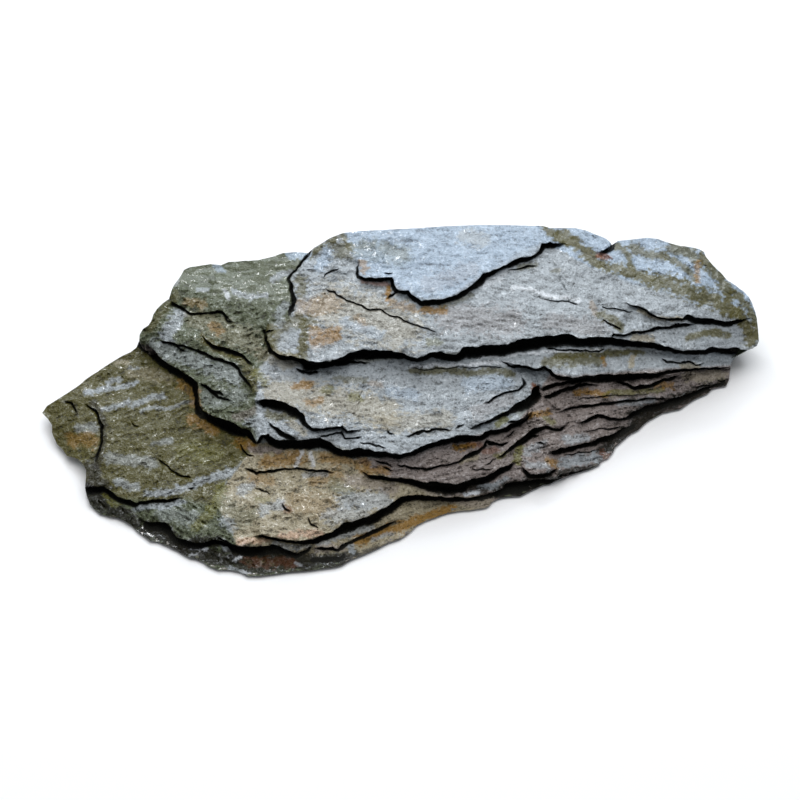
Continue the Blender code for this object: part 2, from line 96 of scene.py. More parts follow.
# The hidden sides: how far down each ring lies, how far in the far side has come by then,
# and how many thin layers there are from the ring above to it
WALL_LAYERS = (
    (0.13, 0.06, 4), (0.16, 0.30, 1), (0.36, 0.20, 5), (0.40, 0.50, 1), (0.64, 0.38, 6),
    (0.68, 0.76, 1), (0.90, 0.68, 5), (1.0, 1.0, 3),
)
WALL_SWAY = 0.08
WALL_SWAY_SCALE = 0.011
WALL_JUT = 0.22
WALL_JUT_SCALE = 0.028
LAYER_SPACING = 7.0
BACK_INSET_MM = 5.0
BACK_INSET_PER_HEIGHT = 0.22
FRONT_INSET_MM = 6.0
FRONT_INSET_PER_HEIGHT = 1.7
THIN_LAYER_JUT_MM = 1.5
BED_EDGE_MM = 1.2
BED_WEAR_MM = 14.0
BED_SCARS_MM = (
    (-110.0, -60.0, 48.0, 17.0, 1.6), (95.0, 5.0, 60.0, 15.0, 1.4), (-30.0, 45.0, 40.0, 12.0, 1.2),
    (60.0, -70.0, 34.0, 12.0, 1.8),
)

# The stone's outline as it is seen, clockwise from its left tip
OUTLINE = (
    (42, 413), (47, 406), (55, 401), (66, 394), (78, 386), (89, 378), (100, 370), (112, 362),
    (122, 356), (131, 352), (137, 347), (139, 341), (140, 334), (143, 329), (149, 325),
    (152, 320), (153, 315), (157, 309), (163, 303), (169, 299), (171, 292), (174, 285),
    (180, 277), (184, 270), (190, 267), (198, 266), (210, 264), (221, 265), (229, 262),
    (243, 261), (258, 260), (272, 257), (283, 253), (295, 252), (308, 253), (315, 247),
    (322, 243), (330, 238), (343, 233), (360, 231), (380, 230), (400, 229), (420, 228),
    (440, 226.5), (460, 225.5), (480, 225), (500, 225), (520, 225.5), (543, 226), (550, 228),
    (560, 228), (575, 228), (585, 230), (597, 235), (605, 238), (609, 241), (612, 245),
    (618, 241), (626, 240), (640, 238.5), (648, 237.5), (658, 239), (666, 242), (676, 245),
    (690, 247), (699, 249), (704, 252), (706, 257), (710, 262), (716, 268), (722, 274),
    (727, 280), (735, 285), (743, 291), (749, 297), (752, 303), (755, 311), (757, 319),
    (758, 330), (759, 341), (757, 346), (750, 348), (745, 352), (738, 355), (734, 359),
    (731, 364), (730, 372), (729, 380), (726, 386), (719, 387), (712, 389), (707, 394),
    (697, 398), (690, 402), (680, 409), (670, 411), (662, 413), (655, 417), (648, 421),
    (643, 425), (638, 430), (630, 434), (622, 441), (615, 447), (613, 452), (608, 458),
    (601, 461), (599, 465), (590, 469), (580, 472), (570, 475), (560, 479), (555, 481),
    (550, 484), (543, 485), (530, 491), (520, 496), (505, 497), (497, 499), (492, 502),
    (489, 506), (484, 508), (470, 510), (458, 511), (447, 513), (436, 517), (425, 521),
    (417, 525), (410, 532), (400, 539), (390, 542), (380, 547), (372, 551), (360, 556),
    (350, 560), (342, 565), (335, 567), (320, 569), (305, 571), (290, 572), (275, 574),
    (260, 576), (248, 576), (240, 572), (230, 570), (218, 570), (208, 566), (203, 562),
    (196, 559), (190, 558), (184, 555), (176, 550), (165, 545), (158, 542), (150, 541),
    (145, 537), (138, 532), (132, 526), (125, 521), (118, 518), (108, 516), (100, 514),
    (94, 509), (90, 504), (87, 496), (85, 488), (86, 478), (86, 470), (83, 464), (78, 459),
    (72, 457), (67, 456), (63, 450), (57, 444), (54, 438), (52, 432), (52, 425), (48, 419),
)

# Heights of the weathered slope that the ledges are cut into: across, down, height
SPOTS = (
    (42, 413, 7), (60, 398, 11), (60, 420, 9), (60, 448, 3), (100, 371, 14), (100, 420, 12.5),
    (100, 470, 10), (100, 490, 8), (100, 515, 2), (140, 330, 28), (140, 345, 20),
    (140, 380, 15), (140, 430, 13), (140, 480, 11), (140, 515, 7), (140, 533, 2),
    (200, 266, 36), (200, 310, 32.5), (200, 350, 29.5), (200, 383, 25), (200, 415, 19),
    (200, 440, 14.5), (200, 480, 12), (200, 520, 10), (200, 540, 7), (200, 561, 2),
    (250, 261, 40), (250, 310, 36), (250, 350, 33), (250, 395, 28.5), (250, 430, 21),
    (250, 460, 15), (250, 510, 12), (250, 545, 8), (250, 577, 2), (300, 253, 44),
    (300, 300, 40), (300, 340, 38), (300, 358, 34), (300, 400, 30), (300, 436, 25),
    (300, 460, 17), (300, 500, 14), (300, 538, 9), (300, 560, 4), (300, 571, 2),
    (320, 245, 48), (375, 229, 55), (375, 300, 49), (375, 355, 41), (375, 400, 33),
    (375, 450, 26), (375, 480, 17), (375, 510, 13), (375, 535, 6), (375, 549, 2),
    (450, 226, 56), (450, 297, 52), (450, 330, 48), (450, 360, 41), (450, 400, 33.5),
    (450, 443, 27), (450, 465, 21), (450, 490, 12), (450, 511, 2), (525, 226, 54),
    (525, 300, 49), (525, 345, 41), (525, 385, 32), (525, 415, 26), (525, 450, 18),
    (525, 475, 11), (525, 494, 2), (600, 238, 50), (600, 290, 46), (600, 342, 37.5),
    (600, 362, 32), (600, 382, 26.5), (600, 410, 18), (600, 440, 10), (600, 463, 2),
    (650, 238, 46), (650, 280, 43), (650, 330, 34.5), (650, 350, 28), (650, 376, 22.5),
    (650, 395, 16), (650, 416, 2.5), (700, 251, 40), (700, 295, 37), (700, 323, 31.5),
    (700, 338, 27.5), (700, 352, 23.5), (700, 368, 17.5), (700, 385, 11), (700, 397, 2.5),
    (735, 285, 30), (729, 380, 6), (735, 356, 10), (745, 351, 10), (750, 300, 26),
    (757, 320, 20), (758, 338, 13),
)

# Ledges: name, drop, how far the first and the last end fade, and the brink's points as
# (across, down, width of the dark gap under it). A brink drawn from left to right drops
# towards the viewer, and one drawn down the view drops to the left.
LEDGES = (
    ("crown", 5.0, 12, 14, (
        (362, 261, 1), (358, 268, 2), (360, 275, 3), (370, 277, 3), (380, 278, 3), (392, 277, 3),
        (394, 284, 4), (399, 291, 4), (409, 291, 5), (422, 301, 5), (438, 299, 5), (452, 296, 5),
        (466, 289, 5), (477, 281, 6), (484, 273, 6), (498, 268, 3), (510, 262, 5), (530, 256, 4),
        (537, 252, 4), (541, 243, 5), (550, 242, 6), (558, 243, 4), (566, 243, 2))),
    ("top slab", 9.0, 20, 0, (
        (270, 322, 2), (267, 330, 3), (269, 342, 3), (272, 350, 4), (283, 355, 4), (298, 357, 5),
        (308, 360, 8), (320, 361, 7), (332, 361, 6), (341, 357, 8), (350, 352, 9), (362, 350, 9),
        (392, 350, 9), (400, 352, 8), (408, 355, 5), (417, 358, 3), (430, 352, 6), (440, 352, 8),
        (454, 354, 7), (463, 347, 11), (480, 346, 12), (500, 344, 12), (521, 339, 13),
        (540, 336, 12), (562, 334, 13), (577, 337, 11), (610, 337, 9), (632, 341, 6),
        (655, 343, 6), (682, 350, 4), (705, 349, 5), (715, 347, 6), (737, 348, 6),
        (752, 350, 6))),
    ("right shelf", 4.0, 14, 14, (
        (625, 301, 1), (645, 309, 2.5), (663, 317, 2), (681, 319, 3), (687, 315, 5),
        (705, 318, 8), (725, 321, 6), (743, 319, 2), (752, 317, 2))),
    ("right shelf foot", 3.0, 10, 12, (
        (607, 340, 2), (613, 333, 2), (622, 334, 2.5), (646, 329, 2.5), (673, 324, 3),
        (698, 323, 3))),
    ("second slab", 7.0, 24, 0, (
        (500, 362, 1), (522, 366, 2), (545, 366, 2), (552, 370, 3), (558, 374, 4), (572, 377, 5),
        (583, 376, 6), (600, 373, 9), (620, 374, 8), (655, 372, 5), (684, 368, 3), (715, 367, 2),
        (736, 368, 2))),
    ("lens", 3.0, 10, 14, (
        (610, 380, 3), (622, 381, 3), (636, 385, 4), (652, 382, 4), (672, 377, 3), (684, 375, 2))),
    ("second slab nose", 4.0, 6, 12, (
        (538, 389, 3), (548, 385, 4), (558, 382, 4), (568, 380, 4), (580, 379, 4), (592, 378, 4))),
    ("sliver", 3.0, 6, 12, (
        (541, 396, 3), (556, 391, 4), (576, 384, 4), (588, 383, 3), (600, 384, 2))),
    ("middle slab lobe", 2.0, 10, 10, (
        (481, 404, 2), (488, 400, 2.5), (500, 393, 2), (517, 388, 2.5), (523, 383, 3),
        (522, 373, 1.5))),
    ("middle slab nose", 5.0, 14, 8, (
        (468, 429, 1), (480, 424, 2), (491, 418, 3), (508, 410, 4), (515, 404, 8), (524, 400, 11),
        (530, 394, 11), (532, 388, 8), (539, 383, 4))),
    ("hollow under the middle slab", 5.0, 10, 14, (
        (253, 403, 4), (260, 400, 9), (275, 399, 12), (284, 402, 11), (291, 407, 8),
        (303, 414, 7), (314, 428, 4), (330, 427, 2), (342, 425, 2), (348, 430, 2), (362, 430, 2))),
    ("middle slab", 7.5, 0, 16, (
        (126, 334, 6), (140, 339, 6), (146, 343, 8), (158, 355, 7), (174, 366, 7), (190, 377, 7),
        (198, 383, 6), (199, 402, 4), (203, 411, 8), (216, 416, 10), (235, 424, 11),
        (251, 431, 8), (256, 441, 3), (260, 434, 3), (267, 433, 6), (273, 438, 8), (285, 440, 9),
        (300, 440, 10), (316, 438, 10), (322, 437, 10), (335, 446, 9), (343, 449, 8),
        (360, 448, 9), (380, 451, 6), (400, 454, 4), (411, 453, 4), (420, 445, 6), (432, 441, 6),
        (448, 439, 5), (460, 434, 7), (480, 435, 6), (490, 430, 6), (505, 427, 5), (520, 421, 4),
        (534, 410, 3))),
    ("tip slab branch", 2.0, 6, 8, (
        (200, 382, 2), (213, 391, 3), (227, 399, 2), (233, 402, 1))),
    ("saddle", 2.5, 6, 8, (
        (268, 422, 2), (279, 428, 4), (288, 434, 5), (300, 440, 4))),
    ("tongue crack", 2.0, 10, 12, (
        (243, 466, 1.5), (250, 468, 2), (257, 472, 2.5), (270, 470, 2.5), (285, 468, 2),
        (300, 468, 2), (320, 470, 2.5), (338, 471, 2))),
    ("tip slab front crack", 2.5, 0, 12, (
        (76, 486, 8), (88, 487, 8), (100, 487, 7), (107, 489, 6), (123, 498, 5), (136, 503, 4),
        (148, 501, 4), (170, 498, 3), (186, 498, 1))),
    ("tongue", 5.0, 10, 10, (
        (362, 471, 2), (372, 475, 4), (382, 475, 5), (396, 477, 4), (408, 479, 6), (432, 481, 10),
        (446, 483, 12), (457, 484, 10), (466, 481, 7), (478, 478, 8), (492, 472, 7), (506, 465, 5),
        (516, 461, 3))),
    ("first stratum", 2.0, 12, 10, (
        (392, 461, 2), (402, 465, 2), (412, 467, 2.5), (434, 467, 2), (446, 464, 1.5),
        (458, 460, 2), (464, 455, 4), (474, 451, 4), (483, 446, 3), (487, 440, 2), (500, 443, 2),
        (508, 440, 2))),
    ("second stratum", 3.0, 8, 12, (
        (495, 459, 2), (503, 452, 3), (511, 446, 4), (518, 440, 6), (525, 434, 7), (535, 428, 5),
        (545, 426, 3), (560, 428, 3), (571, 422, 2))),
    ("third stratum", 5.0, 8, 12, (
        (547, 454, 3), (554, 450, 5), (562, 447, 6), (582, 443, 5), (594, 441, 5), (610, 435, 6),
        (622, 429, 5), (632, 424, 4), (640, 418, 3))),
    ("fourth stratum", 3.0, 8, 8, (
        (520, 466, 3), (529, 474, 4), (542, 474, 4), (551, 469, 3), (560, 467, 2))),
    ("fifth stratum", 3.0, 10, 10, (
        (557, 412, 1.5), (575, 406, 2.5), (597, 402, 3), (633, 399, 2.5), (660, 397, 2),
        (672, 398, 1.5))),
    ("sixth stratum", 4.0, 10, 0, (
        (575, 424, 1.5), (586, 419, 3), (596, 414, 4), (605, 416, 4), (625, 417, 3), (633, 411, 5),
        (657, 404, 6), (680, 395, 6), (704, 388, 4), (722, 382, 3))),
    ("front slab", 6.0, 10, 0, (
        (253, 536, 2), (262, 533, 3), (270, 535, 3), (280, 538, 3), (300, 540, 4), (316, 538, 5),
        (332, 531, 7), (346, 523, 9), (358, 520, 8), (368, 516, 9), (385, 506, 9), (400, 497, 8),
        (415, 494, 6), (440, 497, 5), (470, 497, 4), (486, 494, 5), (500, 488, 8), (512, 482, 12),
        (524, 480, 13), (541, 479, 7), (556, 477, 3), (570, 478, 3))),
    ("lower lip", 4.0, 14, 8, (
        (138, 516, 3), (148, 521, 9), (164, 522, 10), (171, 529, 8), (177, 537, 6), (195, 543, 6),
        (215, 540, 5), (230, 542, 4), (240, 546, 8), (250, 547, 10), (262, 546, 10),
        (272, 544, 9), (285, 549, 7), (297, 554, 4), (308, 549, 3), (314, 543, 2))),
    ("lowest lip", 2.5, 6, 8, (
        (314, 547, 2), (338, 547, 3), (348, 541, 3), (374, 528, 5), (385, 524, 4), (398, 519, 2))),
    ("front foot", 3.0, 10, 6, (
        (303, 561, 3), (312, 557, 5), (328, 556, 6), (340, 555, 5), (346, 549, 2))),
    ("tip fold", 2.0, 10, 12, (
        (84, 402, 1.5), (98, 410, 3), (104, 425, 3), (103, 447, 3), (95, 468, 2))),
    ("upper left crack", 2.0, 8, 10, (
        (170, 300, 2), (177, 304, 4), (191, 313, 2.5), (208, 311, 1.5), (221, 311, 2.5),
        (235, 321, 1.5))),
    ("upper left step", 2.5, 12, 12, (
        (158, 340, 2), (184, 344, 2), (202, 351, 3), (222, 358, 2.5), (240, 368, 3), (249, 381, 3),
        (254, 394, 2))),
    ("upper left groove", 2.0, 10, 10, (
        (200, 336, 1.5), (214, 345, 4), (232, 349, 5), (246, 356, 4), (255, 366, 2))),
    ("slab boundary", 4.0, 0, 12, (
        (322, 240, 2), (312, 250, 3), (306, 261, 3), (299, 271, 2), (290, 279, 3), (293, 286, 4),
        (296, 301, 5), (294, 312, 4), (290, 322, 3))),
    ("right rim", 3.0, 8, 0, (
        (598, 253, 2), (606, 250, 4), (611, 246, 4), (613, 238, 3))),
)

# Small cracks and steps in the slabs' faces, drawn like the ledges
CRACKS = (
    ("tip slab crack", 1.0, 5, 5, (
        (158, 456, 1), (163, 462, 1.5), (170, 468, 1.5), (178, 473, 1.5), (186, 475, 1.5),
        (194, 477, 1))),
    ("tip lobe valley", 1.6, 4, 4, ((64, 401, 1.5), (70, 402, 2), (75, 408, 2), (78, 413, 1.5))),
    ("tip slab small crack", 1.0, 3, 3, ((187, 490, 1.5), (190, 488.5, 2), (194, 487, 1.5))),
    ("tip slab scar", 0.8, 3, 3, ((131, 420, 1), (135, 424, 1.2), (140, 425, 1))),
    ("crescent by the saddle", 1.2, 3, 3, (
        (240, 443, 1), (243, 449, 1.5), (248, 453, 1.5), (254, 455, 1))),
    ("upper left curl", 1.5, 4, 4, (
        (208, 310, 1), (218, 310, 1.5), (225, 313, 2), (228, 319, 2.5), (234, 320, 1))),
    ("upper left strip edge", 1.5, 4, 4, (
        (200, 384, 2), (206, 385, 3), (213, 389, 3), (220, 391, 2.5), (225, 396, 1.5))),
    ("upper left facet edge", 1.5, 4, 4, (
        (160, 341, 1.5), (168, 342, 2), (176, 343, 2), (181, 348, 1.5), (188, 351, 1))),
    ("pit by the boundary", 1.5, 3, 3, ((262, 327, 2), (267, 330, 2), (274, 330, 2))),
    ("middle slab lip", 1.5, 5, 5, (
        (403, 436, 1), (412, 433, 2), (422, 430, 2), (435, 429, 2), (445, 428, 2),
        (452, 430, 1.5))),
    ("middle slab crack", 1.0, 4, 4, (
        (320, 436, 2), (330, 433, 2), (340, 431, 2), (343, 430, 2), (347, 436, 2), (352, 437, 2),
        (361, 436, 2))),
    ("middle slab nick", 1.0, 3, 3, ((386, 430, 1), (391, 433, 2), (395, 434, 1.5))),
    ("middle slab front nick", 1.0, 3, 3, (
        (360, 442, 1), (370, 443, 1.2), (380, 444, 1.5), (387, 448, 1))),
    ("middle slab end nick", 1.0, 3, 3, ((455, 428, 1), (460, 425.5, 1.5), (466, 424, 1))),
    ("middle slab end mark", 1.0, 3, 3, ((469, 428, 1), (473, 426, 1.5), (477, 424, 1))),
    ("fourth stratum foot", 2.0, 5, 5, (
        (556, 476, 2), (566, 473, 3), (578, 471, 3), (588, 468, 3), (598, 462, 3))),
    ("long crack", 1.2, 4, 10, (
        (325, 289, 1), (330, 291, 1.5), (336, 291, 1.5), (343, 296, 1.5), (348, 299, 1.5),
        (355, 302, 1.5), (362, 305, 1.5), (370, 308, 1.5), (378, 309, 1.5), (388, 314, 1.5),
        (398, 316, 1.5), (408, 320, 1.2), (416, 324, 1.2), (424, 327, 1), (440, 333, 1))),
    ("top slab corner line", 0.8, 3, 3, (
        (321, 279, 1), (324, 275, 1.2), (330, 271, 1.2), (340, 268, 1))),
    ("crown branch", 1.0, 3, 3, ((400, 292, 2), (394, 297, 3), (388, 300, 2))),
    ("crown tip mark", 1.0, 3, 3, ((383, 272, 1), (388, 272, 2), (393, 272, 1.5))),
    ("faint line below the crown", 0.7, 5, 8, (
        (530, 294, 0.5), (545, 299, 1), (560, 301, 1), (575, 303, 1), (583, 305, 0.5))),
    ("line under the crown's end", 0.9, 4, 4, (
        (506, 270, 1), (518, 268, 1), (528, 265, 2), (537, 264, 1))),
    ("shelf line one", 0.9, 4, 4, ((601, 307, 1), (612, 309, 1), (622, 310, 1.5), (634, 312, 1))),
    ("shelf line two", 0.9, 4, 4, ((602, 318, 1), (608, 322, 1.5), (620, 327, 1.5), (624, 329, 1))),
    ("second slab strip", 1.5, 4, 4, (
        (545, 347, 1), (560, 349, 1.5), (580, 350, 1.5), (597, 350, 1.5), (604, 347, 1.5))),
    ("second slab crack", 1.2, 4, 4, (
        (661, 357, 1), (668, 361, 2), (680, 361, 2), (690, 360, 2), (696, 363, 2), (704, 361, 1.5))),
    ("line over the middle slab", 0.8, 6, 6, (
        (408, 366, 1), (425, 368, 1), (445, 368, 1), (465, 366, 1), (490, 366, 1), (503, 367, 1))),
    ("strip end of the top gap", 1.2, 4, 4, (
        (500, 361, 1), (508, 365, 2), (520, 366, 2), (535, 367, 2), (546, 367, 2))),
    ("shadow under the top slab", 3.0, 6, 8, (
        (300, 363, 8), (320, 363, 6), (330, 362, 5), (340, 361, 4), (350, 361, 3), (360, 361, 2),
        (370, 360, 2))),
    ("step left of that shadow", 1.5, 3, 3, ((294, 369, 2), (303, 370, 3), (315, 370, 3), (320, 372, 2))),
    ("chip below the middle slab", 1.5, 4, 4, ((375, 458, 1.5), (385, 462, 2), (393, 466, 1.5))),
    ("second chip below it", 1.2, 3, 3, ((382, 465, 1.5), (393, 470, 1.5))),
    ("small lens", 1.5, 4, 4, (
        (487, 441, 1.5), (493, 443, 2), (500, 443, 2), (505, 441, 2), (509, 440, 1.5))),
    ("small lens back", 1.2, 3, 3, ((505, 436, 1.5), (510, 433, 2), (515, 430, 1.5))),
    ("pebble under the nose", 1.5, 3, 3, ((507, 422, 2), (515, 421, 3), (522, 417, 3), (528, 412, 2))),
    ("strata valley", 1.5, 4, 4, ((517, 446, 1.5), (524, 440, 3), (532, 435, 3), (540, 433, 1.5))),
    ("strata nick one", 1.0, 3, 3, ((485, 465, 1), (489, 462, 1.5), (494, 458, 1))),
    ("strata nick two", 1.0, 3, 3, ((536, 442, 1), (541, 441, 1.5), (547, 444, 1))),
    ("strata line one", 0.9, 4, 4, ((470, 469, 1), (480, 469, 1.2), (492, 468, 1))),
    ("strata line two", 0.9, 5, 5, ((575, 400, 0.8), (600, 396, 1), (625, 394, 1), (650, 393, 0.8))),
    ("strata line three", 0.9, 5, 5, ((585, 430, 1), (600, 429, 1.2), (615, 427, 2), (622, 426, 1))),
    ("strata line four", 0.8, 5, 5, ((560, 455, 1), (575, 453, 1.2), (588, 451, 1.2), (598, 449, 1))),
    ("strata end line", 1.2, 3, 3, ((690, 386, 1), (700, 385, 1.5), (712, 384, 1.5))),
    ("right end nick", 1.0, 2, 2, ((716, 378, 1), (722, 380, 2), (727, 378, 1))),
    ("tongue small crack", 0.8, 3, 3, ((254, 487, 1), (262, 489, 1), (268, 492, 1.2), (272, 495, 1))),
    ("tongue brown crack", 0.8, 2, 2, ((283, 505, 1), (287, 508, 2), (290, 511, 1))),
    ("tongue pit line", 0.8, 2, 2, ((309, 516, 1), (312, 522, 2), (319, 528, 1.5))),
    ("line along the front slab", 1.0, 4, 4, (
        (218, 536, 2), (225, 539, 2.5), (232, 541, 2.5), (240, 545, 2))),
    ("lip rim line", 0.8, 4, 4, ((285, 551, 1), (295, 554, 1.5), (303, 553, 1.5), (310, 550, 1))),
)

# Areas of the upper face: name, its colour, how speckled it is, the way its grain rises
# to the right in degrees, height of its wrinkles, their width and length, height of its
# thin split layers, and its border. The film and sky colours are partly a painted
# reflection of the bright sky.
AREAS = (
    ("tip slab", "olive", 0.75, 20, 0.45, 5.0, 17.0, 0.30, (
        (30, 405), (100, 360), (128, 340), (145, 345), (158, 357), (174, 368), (190, 379),
        (197, 386), (198, 403), (203, 413), (216, 418), (235, 426), (250, 433), (256, 443),
        (245, 455), (232, 468), (222, 485), (212, 505), (190, 500), (148, 503), (123, 500),
        (88, 489), (70, 487), (50, 460), (35, 425))),
    ("lower wall", "slate", 0.85, -35, 0.6, 3.6, 12.0, 0.45, (
        (70, 485), (107, 489), (123, 498), (148, 501), (190, 498), (215, 505), (225, 530),
        (240, 546), (262, 546), (297, 554), (312, 557), (346, 549), (350, 570), (250, 585),
        (180, 565), (80, 520))),
    ("upper left top", "slate", 0.25, 4, 0.2, 5.0, 22.0, 0.30, (
        (178, 262), (255, 250), (300, 244), (308, 254), (300, 268), (288, 280), (291, 300),
        (268, 302), (225, 300), (196, 292), (182, 284))),
    ("upper left slab", "slate", 0.85, 12, 0.5, 4.6, 11.0, 0.45, (
        (128, 338), (140, 322), (165, 295), (182, 284), (196, 292), (225, 300), (268, 302),
        (291, 300), (290, 322), (268, 325), (268, 342), (272, 352), (256, 368), (254, 395),
        (253, 403), (258, 420), (256, 441), (250, 431), (216, 416), (199, 402), (198, 383),
        (174, 366), (146, 343))),
    ("top slab", "film", 0.45, -4, 0.28, 4.5, 20.0, 0.35, (
        (322, 240), (306, 261), (290, 280), (296, 301), (290, 322), (270, 324), (269, 342),
        (283, 355), (310, 362), (345, 356), (400, 352), (417, 358), (440, 352), (463, 347),
        (500, 344), (562, 334), (610, 337), (640, 330), (700, 322), (752, 318), (740, 308),
        (640, 285), (575, 262), (541, 243), (484, 273), (452, 296), (422, 301), (394, 284),
        (360, 275), (358, 262), (345, 240))),
    ("crown slab", "sky", 0.3, -2, 0.22, 4.5, 26.0, 0.28, (
        (345, 232), (356, 262), (360, 275), (392, 277), (399, 291), (422, 301), (452, 296),
        (477, 281), (498, 268), (530, 256), (541, 243), (566, 243), (560, 220), (440, 218),
        (345, 226))),
    ("right rim", "sky", 0.4, -22, 0.35, 4.5, 20.0, 0.35, (
        (560, 220), (545, 240), (575, 256), (620, 278), (680, 298), (745, 318), (765, 330),
        (760, 290), (700, 240), (640, 230), (600, 226))),
    ("second slab", "film", 0.4, -2, 0.28, 3.6, 24.0, 0.35, (
        (470, 356), (545, 347), (610, 341), (650, 330), (700, 322), (765, 320), (755, 350),
        (735, 366), (684, 368), (600, 373), (572, 377), (552, 370), (500, 362))),
    ("middle slab", "film", 0.55, 2, 0.32, 4.2, 18.0, 0.40, (
        (258, 400), (262, 370), (275, 358), (310, 368), (345, 366), (400, 362), (440, 360),
        (500, 358), (545, 366), (552, 372), (535, 390), (515, 404), (508, 410), (520, 421),
        (490, 432), (448, 440), (411, 454), (360, 449), (322, 438), (285, 441), (260, 434),
        (256, 441), (253, 420))),
    ("strata", "rose", 0.7, 14, 0.55, 3.0, 28.0, 0.45, (
        (552, 372), (572, 377), (600, 373), (684, 368), (735, 366), (740, 385), (640, 430),
        (600, 470), (540, 490), (490, 512), (440, 500), (395, 478), (360, 462), (411, 456),
        (448, 442), (490, 432), (520, 421), (535, 405))),
    ("tongue", "beige", 0.7, 6, 0.4, 4.2, 14.0, 0.40, (
        (243, 466), (258, 445), (300, 450), (345, 458), (375, 475), (400, 479), (440, 484),
        (455, 486), (440, 500), (415, 494), (385, 506), (358, 520), (332, 531), (300, 541),
        (262, 533), (235, 530), (218, 505), (232, 480))),
    ("front lips", "beige", 0.65, 22, 0.5, 3.0, 22.0, 0.45, (
        (235, 530), (262, 535), (300, 541), (332, 532), (358, 521), (400, 498), (440, 498),
        (486, 495), (500, 505), (440, 520), (400, 545), (346, 560), (300, 558), (240, 548))),
)
AREA_SOFTNESS = 5.0
